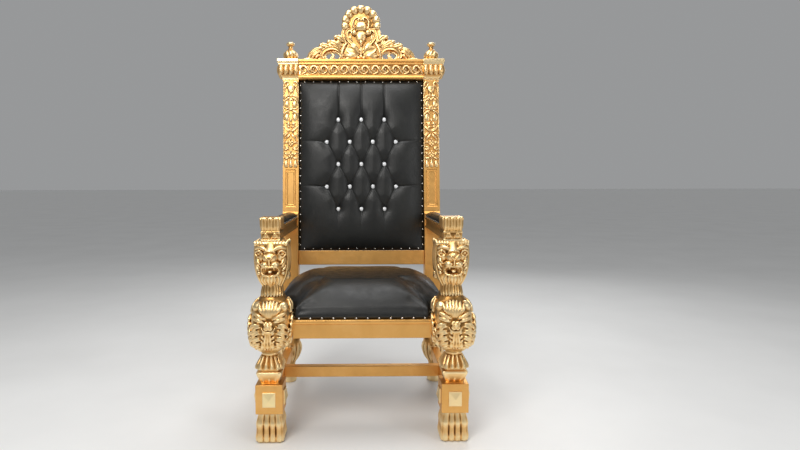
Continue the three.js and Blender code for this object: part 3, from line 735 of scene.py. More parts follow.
def lion_head():
    """The lion: brow, broad nose, whisker pads, open mouth, leafy beard and mane swept back and down."""
    x0 = HEAD_SHIFT
    at = lambda u, d, z: (x0 + u, -d, z)
    levels = [  # height, half width, half depth, middle's y
        (583, 29, 33, -6), (596, 36, 40, -6), (619, 49, 45, -5), (642, 56, 49, -4),
        (664, 58.5, 53, -4), (700, 59.5, 57, -5), (735, 59.5, 59, -5), (752, 59, 58, -5),
        (760, 56, 55, -5), (764, 49, 48, -5),
    ]
    a = np.linspace(0, 2 * np.pi, 40, endpoint=False)
    reach = (np.abs(np.cos(a)) ** 3.2 + np.abs(np.sin(a)) ** 3.2) ** (-1 / 3.2)
    skull = loft(
        [
            np.stack([x0 + w * np.cos(a) * reach, y + d * np.sin(a) * reach, z + 0 * a], -1)
            for z, w, d, y in levels
        ]
    )
    middle = [
        stroke([at(0, 56, 752), at(0, 68, 738), at(0, 80, 722)], [17, 18, 22], 0.5),  # forehead
        ball(*at(0, 70, 704), 28, 26, 22, 28),  # the broad dome of the nose
        stroke([at(0, 96, 696), at(0, 93, 678)], [3.4, 2.6], 1),
        stroke(  # tongue
            [at(0, 46, 650), at(0, 66, 658), at(0, 78, 656), at(0, 84, 650)], [10, 10, 9, 5], 0.5
        ),
        ball(*at(0, 56, 634), 25, 26, 13, 20),  # jaw
        stroke([at(0, 74, 645), at(0, 80, 626), at(0, 66, 592)], leaf(14, 0.35), 0.6, "vein"),  # beard
        stroke([at(-20, 62, 741), at(0, 70, 736), at(20, 62, 741)], [5, 6, 5], 0.6),
    ]
    half = [
        stroke(  # the V of the nose
            [at(0, 98, 696), at(9, 97, 706), at(19, 88, 717)], [2.2, 2.6, 2], 1.1, "ridge"
        ),
        ball(*at(16, 74, 680), 19, 21, 13, 20),  # whisker pad
        stroke(  # upper lip
            [at(0, 92, 672), at(14, 91, 673), at(26, 82, 670), at(31, 70, 660)], [3.6, 4.2, 4.2, 4], 1
        ),
        stroke(  # lower lip
            [at(31, 70, 662), at(30, 72, 649), at(22, 78, 641), at(8, 84, 639)], [5, 5, 4.5, 4], 1
        ),
        stroke([at(15, 84, 670), at(15, 83, 661)], [3, 1.6], 1),  # fang
        stroke([at(11, 80, 640), at(15, 76, 622), at(8, 64, 598)], leaf(7.5), 0.8, "vein"),
        stroke([at(24, 72, 640), at(27, 64, 620), at(17, 54, 596)], leaf(8), 0.8, "vein"),
        ball(*at(42, 48, 690), 15, 17, 21, 20),  # cheek
        ball(*at(31, 56, 704), 13, 14, 17, 16),
        stroke([at(34, 68, 678), at(42, 66, 684), at(50, 60, 700)], leaf(4.2, 0.5), 1),
        stroke([at(36, 64, 666), at(45, 62, 674), at(54, 54, 690)], leaf(4.4, 0.5), 1),
        stroke([at(38, 60, 652), at(48, 57, 662), at(57, 48, 678)], leaf(4.6, 0.5), 1),
        ball(*at(43, 47, 645), 9, 11, 9, 16),  # jaw ball
        ball(*at(42, 55, 718), 8),  # eye
        stroke([at(28, 66, 716), at(34, 69, 726), at(45, 66, 729), at(56, 54, 720)], 3.4, 1.1),  # upper lid
        stroke([at(28, 66, 714), at(36, 66, 706), at(48, 60, 707), at(56, 54, 716)], 2.8, 1.0),  # lower lid
        stroke(  # brow
            [at(10, 78, 727), at(22, 75, 737), at(40, 67, 741), at(56, 54, 734)], [5, 6.5, 6.5, 4], 0.8
        ),
    ]
    for k in range(4):  # mane strands down the side of the face to the chin
        d = 36 - 17 * k
        half.append(
            stroke(
                [
                    at(58, d, 750), at(60.5, d - 2, 722), at(60.5, d - 3, 690), at(57, d - 2, 656),
                    at(47 - 2 * k, d - 2, 620), at(31 - 2 * k, d - 5, 588),
                ],
                [6, 7.5, 8, 8, 6.5, 3], 0.6, "vein", (0.9, -0.5, 0),
            )
        )
    for k in range(5):  # locks that sweep to the back of the head
        z = 748 - 28 * k
        half.append(
            stroke(
                [at(59, 2, z), at(59, -20, z - 6), at(52, -42, z - 20), at(38, -52, z - 34)],
                [6, 9, 8, 3], 0.5, "vein", [(1, -0.2, 0), (1, 0.2, 0), (0.7, 0.7, 0), (0.5, 0.9, 0)],
            )
        )
    for i in range(6):  # ruffled band over the brow
        u = 5 + 10 * i
        d = 60 - 0.0028 * u * u
        half.append(
            stroke([at(u - 3, d - 1, 745), at(u + 1, d, 753), at(u + 5, d - 4, 762)], [4, 5, 4], 0.7)
        )
    for i in range(6):
        y = 48 - 18 * i
        half.append(
            stroke(
                [at(59, y, 745), at(59, y - 3, 754), at(56, y - 8, 762)], [5, 7, 5], 0.5, "round", (1, 0, 0)
            )
        )
    half_shapes = [(p - (x0, 0, 0), f) for p, f in half]
    return [skull, *middle, *moved(both(half_shapes), lambda p: p + (x0, 0, 0))]


def arm_block():
    """The end of the arm: a beaded band between fillets under curling leaves."""
    x0, half, front, rear = HEAD_SHIFT, 35.5, -60.0, 40.0
    shapes = [
        box(x0 - 33, x0 + 33, front + 3, rear, 752, 842),
        box(x0 - 34, x0 + 34, front + 3, rear, 760, 797),
        box(x0 - half, x0 + half, front, rear, 762, 768),
        box(x0 - half, x0 + half, front, rear, 791, 797.5),
        box(x0 - 33, x0 + 33, front + 8, rear - 2, 838, 849),
    ]

    def frieze(length, to_face):
        made = []
        beads = max(2, round(length / 34))
        for k in range(beads):
            u = (k - (beads - 1) / 2) * length / beads
            made += moved([ball(u, 1, 779.5, length / beads * 0.34, 5, 8)], to_face)
            made += moved([stroke([(u - 13, 0, 772), (u, -2, 790), (u + 13, 0, 772)], 2, 1)], to_face)
        leaves = max(3, round(length / 24))
        for k in range(leaves):
            u = (k - (leaves - 1) / 2) * length / leaves
            wide = length / leaves / 2
            made += moved(
                [
                    stroke(
                        [(u, 3, 797), (u, -1, 815), (u, -2, 834), (u, -4, 846)],
                        [wide * 0.8, wide, wide * 1.02, wide * 0.9], 0.42, "vein",
                    ),
                    ball(u, -1, 845, wide * 0.85, 6, 5.5),
                ],
                to_face,
            )
            if k < leaves - 1:
                v = u + wide
                made += moved([stroke([(v, 2, 797), (v, 0, 812), (v, 1, 826)], leaf(5, 0.5), 0.8)], to_face)
        return made

    shapes += frieze(66, lambda p: p + (x0, front + 2, 0))
    right = frieze(92, lambda p: np.stack([x0 + 33 - p[..., 1], -10 + p[..., 0], p[..., 2]], -1))
    return [*shapes, *mirrored_about(right, x0), *right]


def mirrored_about(shapes, x0):
    return [(p * (-1, 1, 1) + (2 * x0, 0, 0), [f[::-1] for f in faces]) for p, faces in shapes]


def paw():
    """Four broad toes side by side on each of its four faces, over a flat sole."""
    shapes = [
        loft(
            [
                stem_ring(z, half, 8, y)
                for z, half, y in ((0, 41, 0), (10, 41, 0), (50, 40, 0), (90, 36, 0), (114, 35, 0))
            ]
        )
    ]
    toe = [
        (112, 36, 0.82), (94, 39, 0.87), (72, 43.5, 0.95), (56, 42.5, 0.97), (38, 43, 0.98),
        (20, 45.5, 1.0), (6, 44, 0.98),
    ]
    for spin in quarter_turns():
        for k in (-1.5, -0.5, 0.5, 1.5):
            path = [(23.5 * k * share, -depth, z) for z, depth, share in toe]
            made = stroke(path, [9.8, 10.4, 11.9, 11.3, 11.4, 12, 11], 0.75)
            shapes += moved([made], spin)
    return shapes


def flat_feet(obj):
    """Presses what hangs under the floor flat against it."""
    for v in obj.data.vertices:
        v.co.z = max(v.co.z, 0.0)


def front_legs():
    foot = fuse("leg_paw_right", moved(paw(), from_leg), GOLD_CARVED, 1.3, 14000, 2)
    flat_feet(foot)
    pair(foot, "gold", "front_leg")

    side, low, high = 51.0, 112.0, 223.0
    body = [box(-side, side, -side, side, low, high)]
    studs = []
    for turn in (0, 1, 3):  # on the front and both sides
        rings = []
        for out, share in ((-2, 1), (4, 1), (4.8, 0.96), (5, 0.84), (13, 0.08)):
            w, h = 24.5 * share, 28 * share
            corners = ((-w, -h), (w, -h), (w, h), (-w, h))
            rings.append([(u, -side - out, z + (low + high) / 2) for u, z in corners])
        studs.append(loft(quarter_turns()[turn](np.array(rings, float))))
    pair(eased("leg_block_right", moved(body, from_leg), GOLD_PLAIN, 2.5), "gold", "front_leg")
    # the studs take the lighter gold, a painted highlight
    pair(eased("leg_studs_right", moved(studs, from_leg), GOLD_STUD_HIGHLIT, 0.7), "gold", "front_leg")
    joint = [
        box(HEAD_SHIFT / 2 - SHOULDER_BACK + 5, -20, -22, 22, 388, 464),
        box(-18, 22, -22, 68, 388, 464),
    ]
    for name, shapes, voxel, most, ease in (
        ("leg_waist_right", leg_waist(), 1.5, 22000, 3),
        ("leg_shoulder_right", shoulder() + joint, 1.6, 56000, 3),
        ("lion_head_right", lion_head(), 1.5, 50000, 2),
        ("arm_block_right", arm_block(), 1.5, 20000, 2),
    ):
        pair(fuse(name, moved(shapes, from_leg), GOLD_CARVED, voxel, most, ease), "gold", "front_leg")


# ---- Back: posts, cornice, crest, finials --------------------------------------------------------


def nested(rects):
    """A face stepped through rectangles (x0, x1, z0, z1, y), each inside the one before."""
    points, faces = [], []
    for x0, x1, z0, z1, y in rects:
        points += [(x0, y, z0), (x1, y, z0), (x1, y, z1), (x0, y, z1)]
    for r in range(len(rects) - 1):
        for i in range(4):
            a, b = r * 4 + i, r * 4 + (i + 1) % 4
            faces.append((a, b, b + 4, a + 4))
    last = (len(rects) - 1) * 4
    faces.append((last, last + 1, last + 2, last + 3))
    return np.array(points, float), faces


def post_shaft():
    """The plain post: fielded panel on the front, thicker step below it."""
    x0, x1 = POST_IN, POST_OUT
    low, high = 394.0, 572.0
    steps = [(0, 0), (13, 0), (14.5, 2.2), (17, 3.4), (19, 3.4), (21, 1.8), (22.5, 1.8), (25, 3.6)]
    rects = [
        (x0 + d, x1 - d, low + (d - 13 if d else -25), high - (d - 13 if d else -25), y) for d, y in steps
    ]
    front = nested(rects)
    z0, z1 = low - 25, high + 25
    ends = [box(x0, x1, 0, POST_DEPTH, -62, z0), box(x0, x1, 0, POST_DEPTH, z1, 1008)]
    rest = [*ends, box(x0, x1, 4.5, POST_DEPTH, z0, z1)]
    rim = [box(x0, x0 + 13, 0.05, 5, z0, z1), box(x1 - 13, x1, 0.05, 5, z0, z1)]
    lower = loft(
        [
            [(x0 + 0.3, -g, z), (x1 - 0.3, -g, z), (x1 - 0.3, 20, z), (x0 + 0.3, 20, z)]
            for z, g in ((-42, 9), (352, 9), (356, 11), (361, 11), (366, 5), (371, 1))
        ]
    )
    return [front, *rest, *rim], [lower]


def post_carving():
    """The carved panel: scrolls, a heart, paired ovals, flowers and winged leaves over three flutes."""
    z_low, z_high = CARVING
    at = lambda u, z, d=0.0: (u, 1.5 - d, z)
    half_width = 36.5
    plate = box(-half_width, half_width, 0.5, 8, z_low + 9, z_high + 6)
    middle = [
        plate,
        stroke([at(0, 972, 1), at(0, 955, 3), at(0, 927, 2)], [20, 17, 8], 0.35),  # heart
        stroke([at(-11, 951, 6), at(0, 944, 8), at(11, 951, 6)], leaf(4, 0.5), 1),
        stroke([at(0, 938, 4), at(0, 922, 4)], [9, 12], 0.4, "hollow"), *flower_on(0, 908, 8, 5, at),
        *flower_on(0, 866, 14, 6, at), ball(*at(0, 808, 3), 6, 5, 8), *flower_on(0, 698, 17, 4, at),
        ball(*at(0, 716, 4), 5), ball(*at(0, 684, 4), 4.5), *flower_on(0, 640, 18, 4, at),
        ball(*at(0, 657, 4), 5.5), ball(*at(0, 625, 3), 4),
    ]
    for k in (-1, 0, 1):  # flutes with a scalloped foot
        middle.append(
            stroke(
                [at(k * 22, 622, 1), at(k * 22, 604, 4), at(k * 22, 588, 3), at(k * 22, z_low + 1, 1)],
                bud(9.5, 0.8), 0.55,
            )
        )
    half = [
        stroke(
            [
                at(33, 932, 1), at(34, 968, 3), at(29, 988, 5), at(18, 992, 5), at(11, 982, 4),
                at(16, 974, 5),
            ],
            [4, 5, 5.5, 5, 4, 4],
            0.9,
        ),
        ball(*at(17, 980, 3), 5),
        stroke([at(8, 966, 4), at(18, 972, 4), at(27, 962, 3), at(28, 944, 2)], [3, 4, 4, 2], 0.8),
        stroke([at(4, 924, 3), at(16, 926, 5), at(28, 917, 4), at(34, 905, 2)], [3, 5, 5, 2], 0.8, "vein"),
        stroke([at(2, 916, 3), at(12, 914, 5), at(22, 906, 3)], leaf(5), 0.8),
        oval(18, 886, 12, 19, at),
        stroke([at(31, 878, 2), at(31, 896, 4), at(20, 909, 5), at(8, 902, 3)], [3, 4, 4, 2], 1),
        stroke([at(6, 868, 3), at(20, 862, 5), at(32, 868, 3)], leaf(4.5), 0.9),
        stroke([at(5, 858, 3), at(16, 850, 5), at(27, 856, 3)], leaf(4.5), 0.9),
        oval(19, 822, 12, 20, at),
        stroke([at(33, 812, 2), at(33, 834, 4), at(20, 847, 5), at(6, 838, 3)], [3, 4.5, 4.5, 2], 1),
        stroke([at(4, 800, 3), at(15, 792, 4), at(26, 798, 3)], leaf(4.5), 0.9),
        stroke([at(2, 786, 3), at(10, 789, 6), at(16, 780, 5), at(6, 772, 4)], [3, 5, 5, 3], 0.9),
        stroke([at(2, 774, 3), at(10, 776, 6), at(15, 768, 5), at(4, 762, 4)], [3, 5, 4.5, 3], 0.9),
        stroke([at(0, 757, 4), at(12, 760, 6), at(24, 770, 5), at(33, 782, 2)], [6, 6, 5, 2], 0.7, "vein"),
        stroke(
            [at(6, 748, 3), at(20, 744, 4), at(31, 732, 4), at(33, 716, 2)], leaf(6.5, 0.5), 0.8, "vein"
        ),
        stroke([at(2, 744, 3), at(10, 732, 5), at(20, 722, 4), at(26, 706, 2)], leaf(6), 0.8),
        stroke([at(8, 694, 4), at(22, 702, 5), at(33, 694, 2)], leaf(5.5), 0.8, "vein"),
        stroke([at(8, 680, 3), at(20, 676, 5), at(32, 684, 3)], leaf(4.5), 0.9),
        stroke([at(34, 672, 2), at(24, 666, 5), at(12, 672, 4), at(8, 662, 3)], leaf(5), 0.9),
        stroke([at(8, 636, 4), at(22, 648, 5), at(33, 652, 2)], leaf(6), 0.8, "vein"),
        stroke([at(8, 630, 4), at(22, 624, 5), at(33, 630, 2)], leaf(5), 0.8),
        stroke(
            [at(35, z_low + 12, 1), at(35, 700, 2.5), at(35, 820, 2.5), at(35, z_high, 1)], 2.6, 1, count=60
        ),
    ]
    return [*middle, *both(half)]


def flower_on(u, z, radius, petals, at):
    shapes = [ball(*at(u, z, 5), radius * 0.3)]
    for k in range(petals):
        t = math.radians(90 + (360 / petals) * (k + 0.5 * (petals == 4)))
        tip = (u + radius * math.cos(t), z + radius * math.sin(t))
        shapes.append(
            stroke(
                [at(u, z, 4), at((u + tip[0]) / 2, (z + tip[1]) / 2, 6), at(*tip, 3)],
                leaf(radius * 0.36, 0.55), 0.8, "vein",
            )
        )
    return shapes


def oval(u, z, rx, rz, at):
    """A smooth raised oval."""
    x, y, h = at(u, z, 1)
    return ball(x, y, h, rx, 5, rz, 20)


def capital():
    """Four gadroons a side under two fillets."""
    x0, x1, y0, y1 = POST_IN, POST_OUT, 0.0, POST_DEPTH + 4
    shapes = [
        loft(
            [
                [(x0, -g, z), (x1 + g, -g, z), (x1 + g, y1, z), (x0, y1, z)]
                for z, g in (
                    (1000, 0), (1006, 1), (1012, 3), (1026, 14), (1045, 20), (1068, 19), (1072, 20)
                )
            ]
        ),
        box(x0, x1 + 22, -22, y1, 1071, 1085), box(x0, x1 + 26, -26, y1, 1085, 1098.7),
        box(x0, x1 + 24, -24, y1, 1079, 1086), box(x0 - 0.2, x1 + 4, -4, y1, 1003, 1008),
    ]
    across, deep = x1 + 20 - x0, y1 + 20
    for k in range(4):
        u = x0 + across * (k + 0.5) / 4
        shapes.append(
            stroke(
                [(u, -13, 1024), (u, -19, 1034), (u, -21, 1050), (u, -19, 1067)], [8, 11.4, 11.6, 10], 0.75
            )
        )
    for k in range(4):
        v = -20 + deep * (k + 0.5) / 4
        shapes.append(
            stroke(
                [(x1 + 13, v, 1024), (x1 + 19, v, 1034), (x1 + 21, v, 1050), (x1 + 19, v, 1067)],
                [7, 9.8, 10, 8.6], 0.75, "round", (1, 0, 0),
            )
        )
    return shapes


def back_leg():
    """The back leg: round pad, slim ankle, and a knee of upright reeds."""
    profile = [
        (0, 35, 362, 362), (4, 38, 362, 362), (14, 39, 362, 362), (24, 36, 361, 360),
        (36, 28, 359, 356), (60, 25, 357, 350), (92, 26, 353, 342), (112, 30, 351, 337),
        (134, 40, 349, 331), (160, 46, 346, 322), (182, 48, 345, 315), (206, 44, 341, 306),
        (232, 37, POST_X, 298), (262, 35, POST_X, 292),
    ]
    a = np.linspace(0, 2 * np.pi, 32, endpoint=False)
    core = loft([np.stack([x + r * np.cos(a), y + r * np.sin(a), z + 0 * a], -1) for z, r, x, y in profile])
    shapes = [core, box(LEG_X - 18, LEG_X + 18, 262, 322, STRETCHER[0] - 4, STRETCHER[1] + 4)]
    knots = np.array(profile, float)

    def spot(z, angle, lift):
        radius, x, y = (np.interp(z, knots[:, 0], knots[:, k]) for k in (1, 2, 3))
        return x + (radius + lift) * math.cos(angle), y + (radius + lift) * math.sin(angle), z

    for k in range(14):
        angle = 2 * math.pi * (k + 0.5) / 14
        out = (math.cos(angle), math.sin(angle), 0)
        shapes.append(
            stroke(
                [spot(104, angle, -1), spot(136, angle, 1), spot(182, angle, 2), spot(218, angle, -2)],
                leaf(9, 0.55), 0.7, "vein", out,
            )
        )
        shapes.append(
            stroke(
                [spot(34, angle, -4), spot(64, angle, -1), spot(100, angle, -3)], leaf(5, 0.5), 0.6,
                "round", out,
            )
        )
    shapes.append(
        loft(
            [
                [(POST_IN, front, z), (POST_OUT, front, z), (POST_OUT, rear, z), (POST_IN, rear, z)]
                for z, front, rear in (
                    (236, 264, 320), (262, 260, 320), (300, 255.5, 316), (330, 253.5, 314)
                )
            ]
        )
    )
    return shapes


def back_posts():
    shaft, lower = post_shaft()
    above = moved(shaft, leaned)
    pair(eased("post_shaft_right", above, GOLD_PLAIN, 1.6), "gold", "back_post")
    pair(eased("post_lower_right", moved(lower, leaned), GOLD_PLAIN, 1.6), "gold", "back_post")
    x0, x1 = POST_IN + 0.6, POST_OUT - 0.6  # a little narrower, so that no two members share a face
    foot_part = loft(
        [[(x0, 253.2, z), (x1, 253.2, z), (x1, 313, z), (x0, 313, z)] for z in (320, 372, 440, 478)]
    )
    pair(eased("post_seat_right", [foot_part], GOLD_PLAIN, 1.6), "gold", "back_post")
    carving = moved(post_carving(), lambda p: leaned(p + (POST_X, 0, 0)))
    pair(fuse("post_carving_right", carving, GOLD_CARVED, 1.2, 50000, 4), "gold", "back_post")
    pair(
        fuse("post_capital_right", moved(capital(), leaned), GOLD_CARVED, 1.4, 20000, 2), "gold",
        "back_post",
    )
    leg = fuse("back_leg_right", back_leg(), GOLD_CARVED, 2.0, 16000)
    flat_feet(leg)
    pair(leg, "gold", "back_post")


def cornice():
    half = POST_IN - 0.3
    low, high = CORNICE
    profile = [
        (POST_DEPTH, low), (POST_DEPTH, high), (-17, high), (-20, high - 2), (-21, high - 7),
        (-20, high - 12), (-17, high - 15), (-14, high - 16), (-14, FRIEZE[1] + 3), (-12, FRIEZE[1]),
        (-5, FRIEZE[1] - 1), (-5, FRIEZE[0] + 1), (-12, FRIEZE[0]), (-14, FRIEZE[0] - 3),
        (-17, FRIEZE[0] - 5), (-19, low + 9), (-17, low + 3), (-13, low),
    ]
    body = loft([[(x, y, z) for y, z in profile] for x in (-half, half)])
    rail = piece("cornice_rail", moved([body], leaned), GOLD_PLAIN, 30)
    finish_piece(rail, "gold", "cornice")
    waves, middle = 12, sum(FRIEZE) / 2
    pitch = 2 * (half - 3) / waves
    shapes = [box(-half + 1, half - 1, -6.5, 0, FRIEZE[0] + 0.5, FRIEZE[1] - 0.5)]
    for i in range(waves):
        x = -half + 3 + pitch * (i + 0.38)
        at = lambda u, h, d: (min(max(x + u, -half + 3), half - 3), -6 - d, middle + h)
        shapes.append(
            stroke(
                [
                    at(3, -7, 3), at(-8, -5, 5), at(-13, 5, 6), at(-6, 16, 6), at(7, 17, 6),
                    at(17, 6, 7), at(25, -8, 6), at(36, -19, 3),
                ],
                [3, 4.6, 5, 5.4, 5.6, 5.6, 5, 3], 0.85, count=48,
            )
        )
        shapes.append(
            stroke(
                [at(12, 20, 3), at(22, 13, 4), at(31, -2, 4), at(40, -14, 2)], [2, 3.6, 3.6, 2], 0.9,
                count=24,
            )
        )
        shapes.append(
            stroke(
                [at(-14, -16, 2), at(-3, -17, 3), at(9, -12, 4), at(16, -4, 3)], [2, 3.4, 3.4, 2],
                0.9, count=24,
            )
        )
        shapes.append(ball(*at(-1, 4, 2), 4.4, 5, 4.4))
    finish_piece(
        fuse("cornice_scrolls", moved(shapes, leaned), GOLD_CARVED, 1.2, 50000, 1), "gold", "cornice"
    )


CREST_EDGE = [
    (285, 0), (284, 6), (266, 9), (250, 26), (232, 46), (214, 58), (196, 74), (180, 80), (160, 88),
    (140, 96), (126, 112), (104, 118), (92, 136), (86, 158), (86, 186), (76, 214), (56, 240), (28, 254),
    (0, 259),
]


def crest():
    """The pierced crest: a shell over a shield between scrolls, leaf fans, arches and trailing leaves."""
    at = lambda x, h, d=0.0: (x, 12 - d, BED + h)
    edge = spline([(x, z) for x, z in CREST_EDGE], 60)
    outline = [*edge, *[(-x, z) for x, z in edge[::-1][1:]]]
    outline = [(x, BED + z) for x, z in outline]
    t = np.linspace(0, 2 * np.pi, 28, endpoint=False)
    holes = [[(s * 136 + 33 * math.cos(a), BED + 25 + 18 * math.sin(a)) for a in t] for s in (-1, 1)]
    plate = slab(outline, holes, 14, 38)
    middle = [
        plate,
        ball(*at(0, 184, -2), 68, 15, 66, 32),
        stroke([at(0, 146, 8), at(0, 162, 12), at(0, 182, 9)], [24, 30, 22], 0.45),  # boss
        stroke(  # shield
            [at(0, 144, 4), at(0, 122, 7), at(0, 100, 7), at(0, 70, 4)], [20, 27, 22, 2], 0.45
        ),
        stroke([at(0, 96, 12), at(0, 84, 12), at(0, 66, 8)], leaf(9, 0.4), 0.7),
        ball(*at(0, 17, 8), 8.5), ball(*at(0, 31, 7), 6),
        stroke([at(0, 66, 6), at(0, 48, 8), at(0, 30, 6)], [3, 6, 4], 0.9),
        box(-96, 96, 14, 38, BED, BED + 9),
    ]
    half = [
        stroke([at(9, 188, 12), at(13, 196, 15), at(6, 200, 14), at(0, 193, 13)], [3, 3.5, 3.5, 2.5], 1),
        stroke(
            [
                at(4, 196, 13), at(14, 206, 15), at(29, 201, 15), at(38, 184, 14), at(36, 164, 13),
                at(28, 150, 10),
            ],
            [2.5, 3.5, 3.5, 3.5, 3.5, 3],
            0.9,
        ),
        ball(*at(32, 135, 7), 13, 12, 13),
        stroke(
            [at(32, 123, 6), at(46, 133, 9), at(44, 149, 9), at(30, 154, 8), at(14, 150, 7)],
            [2.5, 3.5, 4, 4, 3], 1,
        ),
        stroke(
            [
                at(40, 150, 6), at(58, 148, 9), at(69, 134, 10), at(68, 114, 10), at(55, 93, 10),
                at(36, 74, 10), at(17, 58, 9), at(5, 36, 7),
            ],
            [5, 7.5, 8, 8, 7.5, 7, 6, 4], 0.9, "hollow", count=64,
        ),
        stroke(
            [at(56, 160, 4), at(78, 152, 7), at(88, 134, 7), at(84, 110, 7), at(76, 92, 6), at(70, 76, 5)],
            [5, 8, 9, 9, 7, 4], 0.75, "vein",
        ),
        stroke([at(50, 128, 4), at(52, 112, 6), at(40, 96, 5)], leaf(6, 0.5), 0.8),
        stroke([at(7, 34, 6), at(30, 62, 10), at(54, 88, 5)], leaf(15, 0.6), 0.5),
        stroke([at(7, 26, 6), at(38, 44, 10), at(76, 62, 5)], leaf(21, 0.6), 0.5, "hollow"),
        stroke([at(7, 20, 5), at(42, 24, 10), at(88, 26, 4)], leaf(15, 0.6), 0.5),
        stroke([at(9, 14, 4), at(36, 12, 7), at(62, 10, 6), at(88, 6, 3)], leaf(8, 0.6), 0.8),
        stroke([at(66, 88, 5), at(82, 66, 8), at(91, 38, 8), at(92, 8, 5)], [4, 6.5, 6.5, 4], 0.9),
        ball(*at(13, 12, 6), 8),
        stroke(
            [
                at(94, 30, 5), at(108, 50, 8), at(132, 60, 10), at(160, 57, 10), at(181, 42, 9),
                at(190, 22, 8), at(182, 7, 6),
            ],
            [5, 8, 9, 9.5, 9, 8, 5], 0.85, "hollow", count=56,
        ),
        ball(*at(180, 12, 6), 8),
        stroke([at(118, 0, -4), at(142, 8, 1), at(133, 24, 2), at(145, 42, 0)], [9, 10, 7, 3], 0.8, "vein"),
        stroke([at(96, 0, -6), at(104, 8, -2), at(100, 22, -3)], [6, 5, 2], 0.8),
        stroke([at(72, 92, 4), at(90, 100, 8), at(104, 110, 9), at(120, 115, 7)], bud(14), 0.65, "vein"),
        stroke([at(88, 70, 4), at(104, 84, 8), at(116, 98, 8)], bud(10), 0.7, "vein"),
        stroke([at(98, 62, 5), at(118, 76, 9), at(136, 86, 9), at(154, 92, 6)], bud(13), 0.65, "vein"),
        stroke([at(126, 68, 5), at(146, 74, 8), at(160, 84, 7)], bud(9), 0.7),
        stroke([at(146, 66, 5), at(164, 70, 9), at(180, 74, 9), at(194, 77, 6)], bud(12.5), 0.65, "vein"),
        stroke([at(172, 62, 5), at(190, 60, 8), at(206, 64, 6)], bud(9), 0.7),
        ball(*at(121, 114, 5), 12, 11, 11), ball(*at(155, 91, 5), 11, 11, 10),
        ball(*at(192, 74, 5), 11, 11, 10),
        stroke(
            [at(188, 60, 5), at(212, 54, 9), at(234, 38, 9), at(252, 12, 5)], [6, 9, 9, 5], 0.75, "vein"
        ),
        stroke([at(190, 44, 5), at(208, 40, 9), at(226, 26, 8), at(238, 6, 5)], [5, 8, 8, 4], 0.75, "vein"),
        stroke([at(194, 26, 4), at(206, 24, 7), at(216, 14, 6), at(222, 3, 4)], [4, 6, 6, 3], 0.8),
        stroke([at(208, 62, 4), at(226, 54, 7), at(246, 36, 6), at(258, 16, 3)], [4, 6, 6, 3], 0.8),
        stroke([at(226, 5, 4), at(250, 7, 6), at(270, 6, 5), at(283, 4, 3)], [5, 7, 6, 4], 0.6),
    ]
    for degrees in (90, 65, 41, 17, -7):  # big lobes of the rim
        a = math.radians(degrees)
        spot = lambda r, d, a=a: at(r * math.cos(a), 176 + r * 0.99 * math.sin(a), d)
        half.append(stroke([spot(54, 5), spot(68, 10), spot(82, 11), spot(93, 4)], bud(19, 0.7), 0.55))
    shapes = moved([*middle, *both(half)], leaned)
    obj = fuse("crest_carving", shapes, GOLD_CARVED, 1.7, 110000, 4)
    finish_piece(obj, "gold", "crest")


def finials():
    profile = [
        (0, 29), (4, 30), (8, 28), (12, 27), (18, 31), (26, 33), (36, 32), (46, 25), (56, 16), (64, 11),
        (72, 10), (77, 12), (80, 18), (85, 21), (90, 19), (94, 13), (97, 4),
    ]
    a = np.linspace(0, 2 * np.pi, 32, endpoint=False)
    core = loft([np.stack([r * np.cos(a), r * np.sin(a), z + 0 * a], -1) for z, r in profile])
    shapes = [core]
    knots = np.array(profile, float)
    for k in range(9):
        start = 2 * np.pi * k / 9
        spots, outs = [], []
        for z in (12, 22, 34, 46, 58):
            angle = start + 0.018 * (z - 12)
            r = np.interp(z, knots[:, 0], knots[:, 1]) - 2
            spots.append((r * math.cos(angle), r * math.sin(angle), z))
            outs.append((math.cos(angle), math.sin(angle), 0))
        shapes.append(stroke(spots, [6, 8.5, 8.5, 6.5, 3], 0.6, "round", outs))
    shapes = moved(shapes, lambda p: leaned(p + (341, 28, BED)))
    pair(fuse("finial_turned_right", shapes, GOLD_CARVED, 1.3, 12000, 2), "gold", "finial")


# ---- Plain members -------------------------------------------------------------------------------


def rails():
    front_end = LEG_X + float(head_shift(425)) - SHOULDER_BACK - 0.3
    low, high = RAIL
    profile = [
        (FRONT + 45, low), (FRONT + 45, high), (FRONT + 6, high), (FRONT + 2, high - 2), (FRONT, high - 6),
        (FRONT, high - 12), (FRONT + 2, high - 16), (FRONT + 6, high - 19), (FRONT + 6, low + 2),
        (FRONT + 8, low),
    ]
    rail = loft([[(x, y, z) for y, z in profile] for x in (-front_end, front_end)])
    finish_piece(piece("front_rail_moulded", [rail], GOLD_PLAIN, 30), "gold", "front_rail")
    plain = eased("rear_rail_plain", [box(-POST_IN + 0.3, POST_IN - 0.3, 259, 299, low, high)], GOLD_PLAIN)
    finish_piece(plain, "gold", "rear_rail")
    back = [box(-POST_IN + 0.3, POST_IN - 0.3, 4, 48, 120, 186.7)]
    finish_piece(eased("back_rail_plain", moved(back, leaned), GOLD_PLAIN), "gold", "back_rail")
    side = [box(332, 366, LEG_Y + 68.3, 252.7, low, high)]
    pair(eased("side_rail_plain_right", side, GOLD_PLAIN), "gold", "side_rail")
    side = [box(LEG_X - 18, LEG_X + 18, LEG_Y + 51.3, 261.7, *STRETCHER)]
    pair(eased("side_stretcher_plain_right", side, GOLD_PLAIN), "gold", "side_stretcher")
    cross = [box(-LEG_X + 18.3, LEG_X - 18.3, -18, 18, *STRETCHER)]
    finish_piece(eased("cross_stretcher_plain", cross, GOLD_PLAIN), "gold", "cross_stretcher")


def post_face(z):
    """Where a post's thick lower front stands at a height, less a hair."""
    return LEAN_Y + (z - LEAN_Z) * math.tan(LEAN) - 9 / math.cos(LEAN) - 0.3


